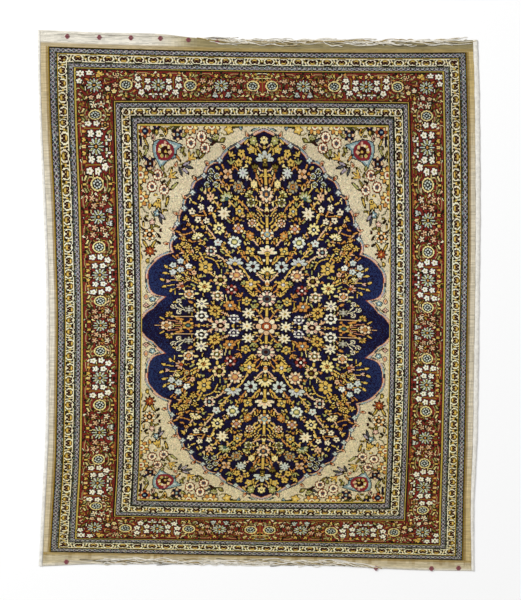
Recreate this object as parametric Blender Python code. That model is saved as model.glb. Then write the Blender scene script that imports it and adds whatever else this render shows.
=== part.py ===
"""A hand-knotted rug that lies flat on the floor, seen from above as it lies.

The knotted cloth is one solid: a pile that stands proud in the middle, and around it the same cloth
woven flat, as two ends and two side bands. An overcast edge cord runs down each side, and loose warp
ends lie sideways along the top and bottom edges. Metres, +Z up, +Y towards the top end.
The origin is on the floor, under the middle of the rug.
"""

from collections import namedtuple
from math import cos, pi, radians, sin

import bmesh
import bpy
from mathutils import Vector

# Thicknesses, all measured up from the floor
PILE_HEIGHT = 0.0060
PILE_RIPPLE = 0.0003
FLAT_HEIGHT = 0.0022
HEM_HEIGHT = 0.0036
SELVAGE_HEIGHT = 0.0045
STRIP_HEIGHT = 0.0019
STRAND_HEIGHT = 0.0015

# The pile's edge climbs from the flat weave over this width
PILE_EDGE = 0.0040

# The white turned-over hem at the left of the top end: how deep it is, and where it runs out
HEM_DEPTH = 0.013
HEM_ENDS_ACROSS = -0.200
HEM_FADE = 0.060

# Parts that touch keep this gap
GAP = 0.0003

# Steps of the cloth's grid
PILE_COLUMNS = 20
PILE_ROWS = 24
BAND_COLUMNS = 2
END_ROWS = 3

# The loose warp ends
STRIP_WIDTH = 0.0025
STRAND_WIDTH = 0.0015
STRAND_PITCH = 0.0122
STRAND_LENGTH = 0.041
STRAND_STEPS = 4
STRAND_LEAN = radians(12)
STRAND_WAVE = radians(5)

# How the long lines of the rug lie: no side is quite straight. A row for each height up the rug,
# with where each line crosses it, from the left to the right.
SideRow = namedtuple("SideRow", "up outer_left joint_left pile_left pile_right joint_right outer_right")
SIDES = (
    SideRow(0.730, -0.5975, -0.5900, -0.5710, 0.5590, 0.5775, 0.5900),
    SideRow(0.600, -0.5960, -0.5890, -0.5700, 0.5640, 0.5815, 0.5945),
    SideRow(0.487, -0.5925, -0.5860, -0.5670, 0.5665, 0.5830, 0.5960),
    SideRow(0.271, -0.5830, -0.5750, -0.5560, 0.5685, 0.5845, 0.5975),
    SideRow(0.001, -0.5740, -0.5655, -0.5480, 0.5655, 0.5830, 0.5945),
    SideRow(-0.201, -0.5745, -0.5655, -0.5495, 0.5630, 0.5795, 0.5925),
    SideRow(-0.377, -0.5765, -0.5675, -0.5520, 0.5595, 0.5770, 0.5890),
    SideRow(-0.539, -0.5845, -0.5755, -0.5590, 0.5555, 0.5715, 0.5810),
    SideRow(-0.730, -0.5940, -0.5850, -0.5690, 0.5530, 0.5735, 0.5805),
)

# How the lines across the rug lie. A row for each place across it, from the left to the right.
EndRow = namedtuple("EndRow", "across cloth_top pile_top pile_bottom cloth_bottom")
ENDS = (
    EndRow(-0.5975, 0.7300, 0.6845, -0.6800, -0.7170),
    EndRow(-0.429, 0.7230, 0.6820, -0.6820, -0.7105),
    EndRow(-0.267, 0.7190, 0.6785, -0.6845, -0.7090),
    EndRow(-0.159, 0.7075, 0.6760, -0.6870, -0.7095),
    EndRow(0.016, 0.7010, 0.6720, -0.6905, -0.7115),
    EndRow(0.192, 0.6990, 0.6735, -0.6945, -0.7140),
    EndRow(0.381, 0.6990, 0.6720, -0.6980, -0.7255),
    EndRow(0.5975, 0.7030, 0.6690, -0.7000, -0.7300),
)

# Each fringe: which way is outward, from the first root to the last, and the way it leans
Fringe = namedtuple("Fringe", "outward first_root last_root lean")
FRINGES = {
    "fringe_top": Fringe(1, -0.155, 0.489, 1),
    "fringe_bottom": Fringe(-1, -0.451, 0.250, -1),
}

# Colour and roughness of each sub-part
Finish = namedtuple("Finish", "red green blue roughness")
FINISHES = {
    "rug_cloth": Finish(0.24, 0.13, 0.08, 0.92),
    "selvage": Finish(0.80, 0.77, 0.70, 0.90),
    "fringe": Finish(0.82, 0.78, 0.68, 0.92),
}


def remove_everything():
    for old in list(bpy.data.objects):
        bpy.data.objects.remove(old, do_unlink=True)


def material(name):
    finish = FINISHES[name]
    made = bpy.data.materials.new(name)
    made.use_nodes = True
    shader = made.node_tree.nodes["Principled BSDF"]
    shader.inputs["Base Color"].default_value = (finish.red, finish.green, finish.blue, 1)
    shader.inputs["Roughness"].default_value = finish.roughness
    shader.inputs["Metallic"].default_value = 0
    return made


def smooth_line(rows, column, at):
    """Where the line in this column lies at this height up, or place across: a smooth curve
    through the table's rows."""
    rows = sorted(rows, key=lambda row: row[0])
    places = [row[0] for row in rows]
    values = [getattr(row, column) for row in rows]
    at = min(max(at, places[0]), places[-1])
    after = next(i for i, place in enumerate(places) if place >= at) or 1
    before = after - 1
    length = places[after] - places[before]
    share = (at - places[before]) / length
    slopes = []
    for i in (before, after):
        low, high = max(i - 1, 0), min(i + 1, len(rows) - 1)
        slopes.append((values[high] - values[low]) / (places[high] - places[low]) * length)
    start = values[before] * (2 * share**3 - 3 * share**2 + 1)
    end = values[after] * (3 * share**2 - 2 * share**3)
    leave = slopes[0] * (share**3 - 2 * share**2 + share)
    arrive = slopes[1] * (share**3 - share**2)
    return start + end + leave + arrive


def stations(lines, counts):
    """Where the grid's lines lie, as a pair of neighbouring named lines and the share between them.
    A pile's edge is at each end of the middle stretch, as a pair of close lines."""
    made = []
    for i, count in enumerate(counts):
        pair = (lines[i], lines[i + 1])
        made += [(pair, step / count) for step in range(count + 1)]
    return made


def place(column, row):
    """The point on the floor where a column and a row of the grid cross."""
    (left, right), across_share = column
    (below, above), up_share = row
    across = 0.0
    up = 0.0
    for _ in range(6):
        up_low = smooth_line(ENDS, below, across)
        up_high = smooth_line(ENDS, above, across)
        up = up_low + (up_high - up_low) * up_share
        across_low = smooth_line(SIDES, left, up)
        across_high = smooth_line(SIDES, right, up)
        across = across_low + (across_high - across_low) * across_share
    return across, up


def hem_height(across, up):
    """The height of the flat weave, with the turned-over hem at the left of the top end."""
    depth = smooth_line(ENDS, "cloth_top", across) - up
    along = min(max((HEM_ENDS_ACROSS - across) / HEM_FADE, 0), 1)
    inward = 1 if depth < HEM_DEPTH else 0
    return FLAT_HEIGHT + (HEM_HEIGHT - FLAT_HEIGHT) * along * inward


def pile_height(across, up):
    return PILE_HEIGHT + PILE_RIPPLE * sin(across * 11 + up * 4) * cos(up * 9 - across * 3)


def new_object(name, mesh_source, finish):
    mesh = bpy.data.meshes.new(name)
    bmesh.ops.recalc_face_normals(mesh_source, faces=mesh_source.faces)
    mesh_source.to_mesh(mesh)
    mesh_source.free()
    made = bpy.data.objects.new(name, mesh)
    made.data.materials.append(finish)
    rug.objects.link(made)
    return made


def cloth_columns():
    lines = ("joint_left", "pile_left", "pile_right", "joint_right")
    return stations(lines, (BAND_COLUMNS, PILE_COLUMNS, BAND_COLUMNS))


def cloth_rows():
    lines = ("cloth_bottom", "pile_bottom", "pile_top", "cloth_top")
    return stations(lines, (END_ROWS, PILE_ROWS, END_ROWS))


def rug_cloth(finish):
    """The cloth: a grid moved to where its lines lie, raised to its pile, and closed underneath."""
    columns = cloth_columns()
    rows = cloth_rows()
    grid = bmesh.new()
    bmesh.ops.create_grid(
        grid, x_segments=len(columns) - 1, y_segments=len(rows) - 1, size=0.5
    )
    for point in grid.verts:
        column_number = round((point.co.x + 0.5) * (len(columns) - 1))
        row_number = round((point.co.y + 0.5) * (len(rows) - 1))
        column, row = columns[column_number], rows[row_number]
        across, up = place(column, row)
        in_pile = column[0][0] == "pile_left" and row[0][0] == "pile_bottom"
        if in_pile:
            across += PILE_EDGE * ((column[1] == 0) - (column[1] == 1))
            up += PILE_EDGE * ((row[1] == 0) - (row[1] == 1))
        height = pile_height(across, up) if in_pile else hem_height(across, up)
        if column[0][0] == "joint_left" and column[1] == 0:
            across += GAP
        if column[0][1] == "joint_right" and column[1] == 1:
            across -= GAP
        point.co = (across, up, height)
    top = list(grid.faces)
    lowered = bmesh.ops.extrude_face_region(grid, geom=top)["geom"]
    underside = [item for item in lowered if isinstance(item, bmesh.types.BMFace)]
    for point in {point for face in underside for point in face.verts}:
        point.co.z = 0
    bmesh.ops.dissolve_faces(grid, faces=underside)
    return new_object("rug_cloth", grid, finish)


def extrude_through(mesh_source, face, sections):
    """Draws a face out through the sections, each the points that its corners move to."""
    for section in sections:
        face = bmesh.ops.extrude_discrete_faces(mesh_source, faces=[face])["faces"][0]
        for corner, spot in zip(face.verts, section):
            corner.co = spot
    return face


def selvage(name, column, outer, finish):
    """The overcast cord along one side: a flat-bottomed round, drawn out along the cloth's edge."""
    profile = ((0.0, 0.0), (1.0, 0.0), (1.0, 0.55), (0.74, 1.0), (0.26, 1.0), (0.0, 0.55))
    sections = []
    for row in cloth_rows():
        if row[0][0] != "cloth_bottom" and row[1] == 0:
            continue
        near, up = place(column, row)
        far = smooth_line(SIDES, outer, up)
        sections.append(
            [Vector((near + (far - near) * p, up, SELVAGE_HEIGHT * h)) for p, h in profile]
        )
    cord = bmesh.new()
    first = cord.faces.new([cord.verts.new(spot) for spot in sections[0]])
    extrude_through(cord, first, sections[1:])
    close_start(cord, sections[0])
    return new_object(name, cord, finish)


def close_start(mesh_source, section):
    """extrude_discrete_faces leaves the start open, so its corners get their face back."""
    corners = [
        min(mesh_source.verts, key=lambda vert, spot=spot: (vert.co - spot).length)
        for spot in section
    ]
    if not mesh_source.faces.get(corners):
        mesh_source.faces.new(corners)


def strand_sections(corners, root, outward, lean):
    """Where the corners of a strand's section go on its way out from the root."""
    middle = sum(corners, Vector()) / len(corners)
    marks = [(1 if spot.x > middle.x else -1, spot.z > middle.z) for spot in corners]
    at = Vector((root.x, root.y))
    step_length = STRAND_LENGTH / STRAND_STEPS
    made = []
    for step in range(STRAND_STEPS):
        # The root stands straight out, and the rest lies over along the edge
        share = step / (STRAND_STEPS - 1)
        turn = STRAND_LEAN + STRAND_WAVE * sin(pi * 2 * share)
        length = step_length if step else STRIP_WIDTH
        heading = pi / 4 if step == 0 else turn
        at = at + Vector((lean * cos(heading), outward * sin(heading))) * length
        aside = Vector((sin(turn), -outward * lean * cos(turn)))
        width = STRAND_WIDTH * (1 - 0.3 * share) / 2
        made.append(
            [
                Vector(
                    (
                        at.x + aside.x * sign * width,
                        at.y + aside.y * sign * width,
                        STRAND_HEIGHT * is_top,
                    )
                )
                for sign, is_top in marks
            ]
        )
    return made


def cloth_edge(row, across):
    """Where the cloth's own straight-stepped edge lies at this place across."""
    corners = [place(column, row) for column in cloth_columns()]
    for (left, left_up), (right, right_up) in zip(corners, corners[1:]):
        if left <= across <= right and left < right:
            return left_up + (right_up - left_up) * (across - left) / (right - left)
    return corners[-1][1]


def fringe(name, finish):
    """A strip that lies along the cloth's edge, with a strand drawn out of it at every pitch."""
    plan = FRINGES[name]
    edge_row = cloth_rows()[0 if plan.outward < 0 else -1]
    count = int((plan.last_root - plan.first_root) / STRAND_PITCH) + 1
    roots = [plan.first_root + STRAND_PITCH * i for i in range(count)]
    breaks = [root + side * STRAND_WIDTH / 2 for root in roots for side in (-1, 1)]
    sections = []
    for across in breaks:
        edge = cloth_edge(edge_row, across) + plan.outward * GAP
        far = edge + plan.outward * STRIP_WIDTH
        sections.append(
            [
                Vector((across, edge, 0)),
                Vector((across, far, 0)),
                Vector((across, far, STRIP_HEIGHT)),
                Vector((across, edge, STRIP_HEIGHT)),
            ]
        )
    strip = bmesh.new()
    first = strip.faces.new([strip.verts.new(spot) for spot in sections[0]])
    extrude_through(strip, first, sections[1:])
    close_start(strip, sections[0])
    bmesh.ops.recalc_face_normals(strip, faces=strip.faces)
    outer = [face for face in strip.faces if face.normal.y * plan.outward > 0.7]
    outer.sort(key=lambda face: face.calc_center_median().x)
    for face in outer[::2]:
        corners = [corner.co.copy() for corner in face.verts]
        root = face.calc_center_median()
        extrude_through(strip, face, strand_sections(corners, root, plan.outward, plan.lean))
    return new_object(name, strip, finish)


remove_everything()
rug = bpy.data.collections.new("hereke_rug")
bpy.context.scene.collection.children.link(rug)

rug_cloth(material("rug_cloth"))
cord_finish = material("selvage")
selvage("selvage_left", cloth_columns()[0], "outer_left", cord_finish)
selvage("selvage_right", cloth_columns()[-1], "outer_right", cord_finish)
fringe_finish = material("fringe")
for fringe_name in FRINGES:
    fringe(fringe_name, fringe_finish)
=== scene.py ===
"""The looks of a hand-knotted rug that lies flat on a pale floor, with the camera straight above it.

The pile is a mesh with a face for every knot, coloured from a chart that is drawn here by formula:
borders and flowers in one quarter, mirrored both ways and laid as unevenly as the real rug lies.
Around it come the flat-woven ends and side bands, the overcast edge cords and the loose warp ends.
Metres, +Z up, +Y towards the rug's top end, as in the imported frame.
"""

from collections import namedtuple
from math import cos, pi, radians, sin

import bpy
import numpy as np
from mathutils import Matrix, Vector


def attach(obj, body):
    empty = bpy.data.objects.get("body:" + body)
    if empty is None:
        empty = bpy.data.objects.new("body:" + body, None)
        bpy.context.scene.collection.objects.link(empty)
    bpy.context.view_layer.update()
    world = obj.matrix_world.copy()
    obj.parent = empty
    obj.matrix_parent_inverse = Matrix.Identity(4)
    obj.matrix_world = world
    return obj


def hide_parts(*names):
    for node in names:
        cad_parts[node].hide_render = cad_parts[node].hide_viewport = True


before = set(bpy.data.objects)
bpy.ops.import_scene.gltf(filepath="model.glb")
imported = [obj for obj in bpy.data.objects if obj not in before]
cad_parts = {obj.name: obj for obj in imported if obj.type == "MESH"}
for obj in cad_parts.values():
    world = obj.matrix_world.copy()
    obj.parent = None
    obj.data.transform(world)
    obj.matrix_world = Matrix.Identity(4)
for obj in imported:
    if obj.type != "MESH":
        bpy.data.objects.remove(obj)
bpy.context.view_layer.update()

# The chart is worked out in units of one photo pixel, 2.7 mm, and has a cell for each knot
UNIT = 0.0027
KNOT = 0.84
PHOTO_WIDTH = 521
PHOTO_HEIGHT = 600
PHOTO_MIDDLE_X = 259.0
PHOTO_MIDDLE_Y = 300.5

# Half sizes of the pile and of the field inside its borders, as woven, before the rug's lay
HALF_WIDTH = 210.0
HALF_HEIGHT = 297.5
FIELD_HALF_WIDTH = 124.5
FIELD_HALF_HEIGHT = 207.0

COLUMNS = int(HALF_WIDTH / KNOT) + 1
ROWS = int(HALF_HEIGHT / KNOT) + 1

# Wool colours, as sRGB
WOOL = {
    "night": "190a07", "navy": "171538", "royal": "25325c", "slate": "484a50", "lilac": "ada2ae",
    "sky": "8aa5aa", "ice": "d2d9d0", "teal": "415e54", "pine": "1e1b10", "moss": "44441f",
    "olive": "7b6c2b", "lime": "aeab68", "brass": "8f7429", "gold": "b5983f", "yellow": "deba5e",
    "lemon": "f2de98", "cream": "f4e6c4", "ivory": "fcf2d0", "white": "fdf5e3", "peach": "e6be94",
    "salmon": "c98a66", "pink": "d9b09b", "orange": "cd8f48", "rust": "9e4a26", "red": "7a2a24",
    "brick": "8a3028", "maroon": "341310", "bark": "26180c", "tan": "b09863", "grey": "aaa590",
    "sand": "dccdaa", "straw": "bfa750", "crimson": "882932",
}
INKS = {name: number for number, name in enumerate(WOOL)}

# What parts the petals of each colour
SHADES = {
    "yellow": "maroon", "lemon": "bark", "cream": "rust", "white": "slate", "peach": "maroon",
    "orange": "maroon", "pink": "maroon", "sky": "slate", "lime": "bark", "ice": "slate",
}


# Steps from one row of a table to the next where it is made finer
CURVE_STEPS = 12


def smooth(places, values):
    """A finer table along a smooth curve through the rows, for np.interp."""
    places = np.asarray(places, float)
    values = np.asarray(values, float)
    slopes = np.gradient(values, places)
    fine = [places[0]]
    curve = [values[0]]
    for i in range(len(places) - 1):
        length = places[i + 1] - places[i]
        for step in range(1, CURVE_STEPS + 1):
            s = step / CURVE_STEPS
            fine.append(places[i] + length * s)
            curve.append(
                values[i] * (2 * s**3 - 3 * s**2 + 1)
                + values[i + 1] * (3 * s**2 - 2 * s**3)
                + slopes[i] * length * (s**3 - 2 * s**2 + s)
                + slopes[i + 1] * length * (s**3 - s**2)
            )
    return np.array(fine), np.array(curve)


# How the long lines of the pattern lie in the photo: no line of a hand-knotted rug is quite straight.
# A row gives a height in the photo, then the pile's left edge, the field's left edge, the middle
# line, the field's right edge and the pile's right edge.
LONG_LINES = (
    (40, 47.3, 137.3, 261.4, 386.3, 466.6),
    (100, 48.5, 138, 262.8, 387, 468.5),
    (150, 50.5, 139, 264.5, 388, 469.3),
    (200, 53, 140, 266.5, 389, 469.5),
    (250, 54.5, 141, 267.4, 389.5, 469.5),
    (300, 56, 142, 267, 389.5, 468.5),
    (350, 56, 142, 266, 389, 467.8),
    (385, 55.5, 141.5, 265, 388.5, 467.3),
    (420, 55, 141.3, 264.3, 387.5, 466.5),
    (450, 54.5, 140.5, 263.4, 386.5, 466),
    (480, 53.2, 139.3, 262, 385.2, 465.2),
    (500, 52, 138, 261, 384, 464.8),
    (560, 48.4, 135.8, 259.3, 382.8, 463.6),
)
LONG_LINE_PLACES = (-HALF_WIDTH, -FIELD_HALF_WIDTH, 0, FIELD_HALF_WIDTH, HALF_WIDTH)

# Where the rows of knots lie in the photo: a height up the rug, then its row at three places across
CROSS_PLACES = (100.0, 265.0, 427.0)
CROSS_LINES = (
    (297.5, 47.8, 51.4, 52.2),
    (252, 85.5, 87.4, 88.2),
    (220.5, 115.0, 114.5, 116.0),
    (207, 125.5, 126.5, 127.5),
    (189, 146.5, 146.5, 147.5),
    (157.5, 184.0, 182.5, 185.0),
    (126, 217, 217.8, 220.5),
    (94.5, 247, 247.6, 252),
    (63, 275, 274.1, 280.5),
    (31.5, 301, 300, 307.5),
    (0, 325.5, 326.5, 333),
    (-31.5, 351, 351, 358.5),
    (-63, 378, 379, 385),
    (-94.5, 405, 406.5, 411.5),
    (-126, 432.5, 433.5, 438),
    (-157.5, 459.5, 459.5, 463.5),
    (-189, 483, 485, 487.5),
    (-207, 498, 501, 501.5),
    (-220.5, 506, 509.5, 510),
    (-252, 527, 529, 532),
    (-297.5, 553, 556.3, 559.7),
)

LONG_HEIGHTS, *LONG_COLUMNS = zip(*LONG_LINES)
LONG_TABLES = [smooth(LONG_HEIGHTS, column) for column in LONG_COLUMNS]
CROSS_UPS, *CROSS_COLUMNS = zip(*sorted(CROSS_LINES))
CROSS_TABLES = [smooth(CROSS_UPS, column) for column in CROSS_COLUMNS]


def photo_x(across, photo_y):
    """Where a woven column lies in the photo at this height in it."""
    lines = [np.interp(photo_y, *table) for table in LONG_TABLES]
    found = np.zeros(np.broadcast(across, photo_y).shape)
    last = len(LONG_LINE_PLACES) - 2
    for i, (low, high) in enumerate(zip(LONG_LINE_PLACES, LONG_LINE_PLACES[1:])):
        share = (across - low) / (high - low)
        stretch = lines[i] + (lines[i + 1] - lines[i]) * share
        found = np.where((across >= low) & ((across < high) | (i == last)), stretch, found)
    return found


def photo_y(up, x):
    """Where a woven row lies in the photo at this place across it."""
    low, middle, high = (np.interp(up, *table) for table in CROSS_TABLES)
    a, b, c = CROSS_PLACES
    return (
        low * (x - b) * (x - c) / ((a - b) * (a - c))
        + middle * (x - a) * (x - c) / ((b - a) * (b - c))
        + high * (x - a) * (x - b) / ((c - a) * (c - b))
    )


# Where the weave swells out a little: the medallion leans over to the top right and bottom left
Swell = namedtuple("Swell", "across up right lift")
SWELLS = (Swell(87, 105, 2.2, 0.8), Swell(-87, -100, -2.2, -0.6))
SWELL_WIDTH = 24.0
SWELL_LENGTH = 42.0

# A place's two coordinates in the photo depend on each other and are found in rounds
LAY_ROUNDS = 5


def lay(across, up):
    """Where a woven place lies on the floor, in metres."""
    x = PHOTO_MIDDLE_X + across
    y = PHOTO_MIDDLE_Y - up
    for _ in range(LAY_ROUNDS):
        y = photo_y(up, x)
        x = photo_x(across, y)
    for swell in SWELLS:
        off = ((across - swell.across) / SWELL_WIDTH) ** 2 + ((up - swell.up) / SWELL_LENGTH) ** 2
        x = x + swell.right * np.exp(-off)
        y = y - swell.lift * np.exp(-off)
    return (x - PHOTO_MIDDLE_X) * UNIT, (PHOTO_MIDDLE_Y - y) * UNIT


def woven(x, y):
    """The woven place, left of the middle and up from it, of a pixel in the photo's top left."""
    across = np.interp(x, [np.interp(y, *table) for table in LONG_TABLES], LONG_LINE_PLACES)
    fine_up = np.linspace(HALF_HEIGHT, -HALF_HEIGHT, 600)
    return -across, float(np.interp(y, photo_y(fine_up, x), fine_up))


# How far apart the spots that make up a stem are
STEM_STEP = 0.42


class Chart:
    """A quarter of the pattern, a cell for each knot, from the rug's middle out to its top left."""

    def __init__(self):
        self.ink = np.zeros((ROWS, COLUMNS), np.uint8)
        self.left = np.arange(COLUMNS) * KNOT
        self.up = np.arange(ROWS) * KNOT
        self.outline = "night"

    def around(self, left, up, reach, turn=0):
        """The cells within reach of a place, and how far each lies right of it and above it."""
        columns = slice(max(int((left - reach) / KNOT), 0), max(int((left + reach) / KNOT) + 2, 0))
        rows = slice(max(int((up - reach) / KNOT), 0), max(int((up + reach) / KNOT) + 2, 0))
        x, y = np.meshgrid(left - self.left[columns], self.up[rows] - up)
        swing = radians(turn)
        return self.ink[rows, columns], x * cos(swing) + y * sin(swing), y * cos(swing) - x * sin(swing)


def ellipse(x, y, heading, centre, half_length, half_width):
    """Under 1 inside an ellipse that lies along a heading, with its middle this far out."""
    swing = radians(heading)
    along = x * sin(swing) + y * cos(swing) - centre
    across = x * cos(swing) - y * sin(swing)
    return np.hypot(along / half_length, across / half_width)


def petals(cells, x, y, headings, centre, half_length, half_width, ink, outline=None, line=0.75):
    """Ellipses around a middle, with a dark line around them all."""
    near = np.sort([ellipse(x, y, h, centre, half_length, half_width) for h in headings], axis=0)
    if outline:
        cells[near[0] < 1 + line / half_width] = INKS[outline]
    cells[near[0] < 1] = INKS[ink]
    return near


def all_round(count, first=0.0):
    """Headings spread evenly around a middle."""
    return [first + 360 / count * i for i in range(count)]


def disc(cells, x, y, radius, ink, outline=None, line=0.75):
    """A round spot, with a dark line around it."""
    away = np.hypot(x, y)
    if outline:
        cells[away < radius + line] = INKS[outline]
    cells[away < radius] = INKS[ink]


def beads(cells, x, y, headings, away, radius, *inks):
    """Dots in a ring, in the colours in turn."""
    for number, heading in enumerate(headings):
        swing = radians(heading)
        spot = np.hypot(x - away * sin(swing), y - away * cos(swing))
        cells[spot < radius] = INKS[inks[number % len(inks)]]


def flower(cells, x, y, size, outline, inks, count):
    """Round petals about a heart. From a middling size on, lines part the petals."""
    petal, heart, *rest = inks
    width = min(0.56 * sin(pi / count) * 1.02, 0.36) * size
    near = petals(cells, x, y, all_round(count), 0.58 * size, 0.42 * size, width, petal, outline)
    if size > 4.4:
        parted = (near[1] - near[0] < 0.16 + 0.9 / size) & (near[0] < 1)
        cells[parted] = INKS[SHADES.get(petal, "bark")]
    disc(cells, x, y, 0.27 * size, heart, outline if size > 4.4 else None, 0.6)
    if rest:
        disc(cells, x, y, 0.15 * size, rest[0])


def star(cells, x, y, size, outline, inks, count):
    """Thin pointed petals, as an aster's."""
    petal, heart, *rest = inks
    width = max(min(0.30 * sin(pi / count) * 1.5, 0.20) * size, 0.62)
    petals(cells, x, y, all_round(count), 0.55 * size, 0.48 * size, width, petal, outline)
    disc(cells, x, y, 0.22 * size, heart)
    if rest:
        disc(cells, x, y, 0.12 * size, rest[0])


def daisy(cells, x, y, size, outline, inks, count):
    """Long narrow petals of two colours in turn, with dark between them, about a small heart."""
    petal, other, heart = inks
    disc(cells, x, y, 0.8 * size, outline)
    width = 0.62 * sin(pi / count) * 0.68 * size
    petals(cells, x, y, all_round(count), 0.66 * size, 0.34 * size, width, petal, outline, 0.6)
    petals(cells, x, y, all_round(count // 2, 360 / count), 0.62 * size, 0.28 * size, width * 0.9, other)
    disc(cells, x, y, 0.16 * size, heart)


def rosette(cells, x, y, size, outline, inks, count):
    """A wide flower: petals of two colours in turn, a dark line, a ring and a heart."""
    petal, other, ring, heart = inks
    width = 0.70 * sin(pi / count) * 0.96 * size
    near = petals(cells, x, y, all_round(count), 0.72 * size, 0.32 * size, width, petal, outline)
    petals(cells, x, y, all_round(count // 2, 360 / count), 0.72 * size, 0.28 * size, width * 0.85, other)
    cells[(near[1] - near[0] < 0.12 + 0.8 / size) & (near[0] < 1)] = INKS[SHADES.get(petal, "bark")]
    disc(cells, x, y, 0.44 * size, ring, outline, 0.7)
    disc(cells, x, y, 0.22 * size, heart)


def ring(cells, x, y, size, outline, inks, count):
    """A ring around a dark middle with a circle of dots."""
    band, inside, dots, *rest = inks
    disc(cells, x, y, size, band, rest[0] if rest else outline)
    disc(cells, x, y, 0.78 * size, outline)
    disc(cells, x, y, 0.70 * size, inside)
    beads(cells, x, y, all_round(count, 12), 0.50 * size, max(0.13 * size, 0.45), dots)
    disc(cells, x, y, max(0.14 * size, 0.5), dots)


def wreath(cells, x, y, size, outline, inks, count):
    """A ring of small pale beads with a dark line inside and out, around a dark middle."""
    bead, gap, inside = inks
    disc(cells, x, y, size, gap, outline, 0.5)
    away = 0.68 * size
    beads(cells, x, y, all_round(count), away, away * sin(pi / count) * 0.95, bead)
    disc(cells, x, y, 0.36 * size, inside, gap, 0.4)


def bud(cells, x, y, size, outline, inks):
    """A drop that points up, with a darker or lighter heart."""
    body, *rest = inks
    share = np.clip((y / size + 1) / 2, 0, 1)
    half = size * 1.15 * share**0.5 * (1 - share) ** 0.75 + 0.02
    inside = (np.abs(x) < half) & (np.abs(y) < size)
    edge = (np.abs(x) < half + 0.8) & (np.abs(y) < size + 0.7)
    cells[edge] = INKS[outline]
    cells[inside] = INKS[body]
    if rest:
        cells[inside & (np.hypot(x / 0.45, (y + 0.25 * size) / 0.6) < 0.8 * size)] = INKS[rest[0]]


def leaf(cells, x, y, size, outline, inks):
    """A slim leaf, with or without a vein."""
    body, *rest = inks
    petals(cells, x, y, (0,), 0, size, max(0.30 * size, 0.8), body, outline, 0.6)
    if rest:
        cells[(np.abs(x) < 0.45) & (np.abs(y) < size * 0.75)] = INKS[rest[0]]


def sprig(cells, x, y, size, outline, inks, count):
    """Leaves that spread from a foot."""
    body, *rest = inks
    spread = 42 if count > 2 else 32
    headings = [spread * (i - (count - 1) / 2) for i in range(count)]
    foot = y + 0.55 * size
    width = max(0.2 * size, 0.7)
    petals(cells, x, foot, headings, 0.75 * size, 0.7 * size, width, body, outline, 0.6)
    if rest:
        disc(cells, x, foot, 0.28 * size, rest[0])


def tulip(cells, x, y, size, outline, inks):
    """A cup of pointed petals."""
    body, heart, *rest = inks
    foot = y + 0.5 * size
    petals(cells, x, foot, (-30, 0, 30), 0.85 * size, 0.75 * size, 0.26 * size, body, outline)
    disc(cells, x, foot, 0.46 * size, body, outline, 0.6)
    disc(cells, x, foot, 0.26 * size, heart)
    if rest:
        petals(cells, x, foot, (0,), 1.0 * size, 0.4 * size, 0.12 * size, rest[0])


def fan(cells, x, y, size, outline, inks, count):
    """A palmette: blades of two colours that spread from a round foot."""
    blade, other, base, *rest = inks
    foot = y + 0.45 * size
    step = 150 / (count - 1)
    headings = [-75 + step * i for i in range(count)]
    width = max(0.13 * size, 0.75)
    petals(cells, x, foot, headings, 0.72 * size, 0.5 * size, width * 1.15, blade, outline)
    petals(cells, x, foot, headings[1::2], 0.70 * size, 0.45 * size, width * 0.8, other)
    disc(cells, x, foot, 0.36 * size, base, outline, 0.5)
    if rest:
        disc(cells, x, foot, 0.18 * size, rest[0])


def lily(cells, x, y, size, outline, inks, count):
    """An open lily: broad petals that curl out from a bright foot."""
    petal, shade, base, *rest = inks
    foot = y + 0.4 * size
    headings = (-80, -42, 0, 42, 80)[:: 1 if count == 5 else 2]
    petals(cells, x, foot, headings, 0.68 * size, 0.55 * size, 0.24 * size, petal, outline)
    petals(cells, x, foot, headings, 0.55 * size, 0.34 * size, 0.08 * size, shade)
    disc(cells, x, foot, 0.30 * size, base, outline, 0.5)
    if rest:
        disc(cells, x, foot, 0.16 * size, rest[0])


def oval(cells, x, y, size, outline, inks):
    """An oval spot, with or without a smaller one in it."""
    body, *rest = inks
    petals(cells, x, y, (0,), 0, size, 0.62 * size, body, outline)
    if rest:
        petals(cells, x, y, (0,), 0, 0.5 * size, 0.3 * size, rest[0])


KINDS = {kind.__name__: kind for kind in (
    flower, star, daisy, rosette, ring, wreath, bud, leaf, sprig, tulip, fan, lily, oval)}


def draw(chart, kind, place, size, turn, inks):
    """A motif with its middle at a woven place. Its kind ends with its number of petals, if any."""
    name = kind.rstrip("0123456789")
    count = [int(kind[len(name):])] if name != kind else []
    cells, x, y = chart.around(*place, 1.3 * size + 2, turn)
    KINDS[name](cells, x, y, size, chart.outline, inks.split(), *count)


def stem(chart, points, ink, width, outline=None):
    """A line along a smooth curve through woven places."""
    knots = np.array(points, float)
    along = np.arange(len(knots))
    length = np.hypot(*np.diff(knots, axis=0).T).sum()
    fine = np.linspace(0, len(knots) - 1, max(int(length / STEM_STEP), 2))
    curves = [smooth(along, values) if len(knots) > 2 else (along, values) for values in knots.T]
    line = list(zip(*(np.interp(fine, *curve) for curve in curves)))
    for colour, radius in ((outline, width + 0.6), (ink, width)):
        for left, up in line if colour else ():
            disc(*chart.around(left, up, 2), radius, colour)


def listed(table):
    """The motifs of a table, one by one."""
    return [Motif(kind, inks, *place) for kind, inks, *places in table for place in places]


def draw_motifs(chart, table):
    """A table of motifs, placed as in the photo."""
    for motif in listed(table):
        draw(chart, motif.kind, woven(motif.x, motif.y), motif.size, motif.turn, motif.inks)


def draw_stems(chart, table, outline=None):
    """A table of stems, placed as in the photo."""
    for ink, width, *stems in table:
        for points in stems:
            stem(chart, [woven(*point) for point in points], ink, width, outline)


# The flowers and leaves of the field. Each row gives a kind with its number of petals and its colours
# from the outside in, then for each such motif where it shows in the top left quarter of the photo,
# its size and its turn.
Motif = namedtuple("Motif", "kind inks x y size turn", defaults=(0,))

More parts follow.
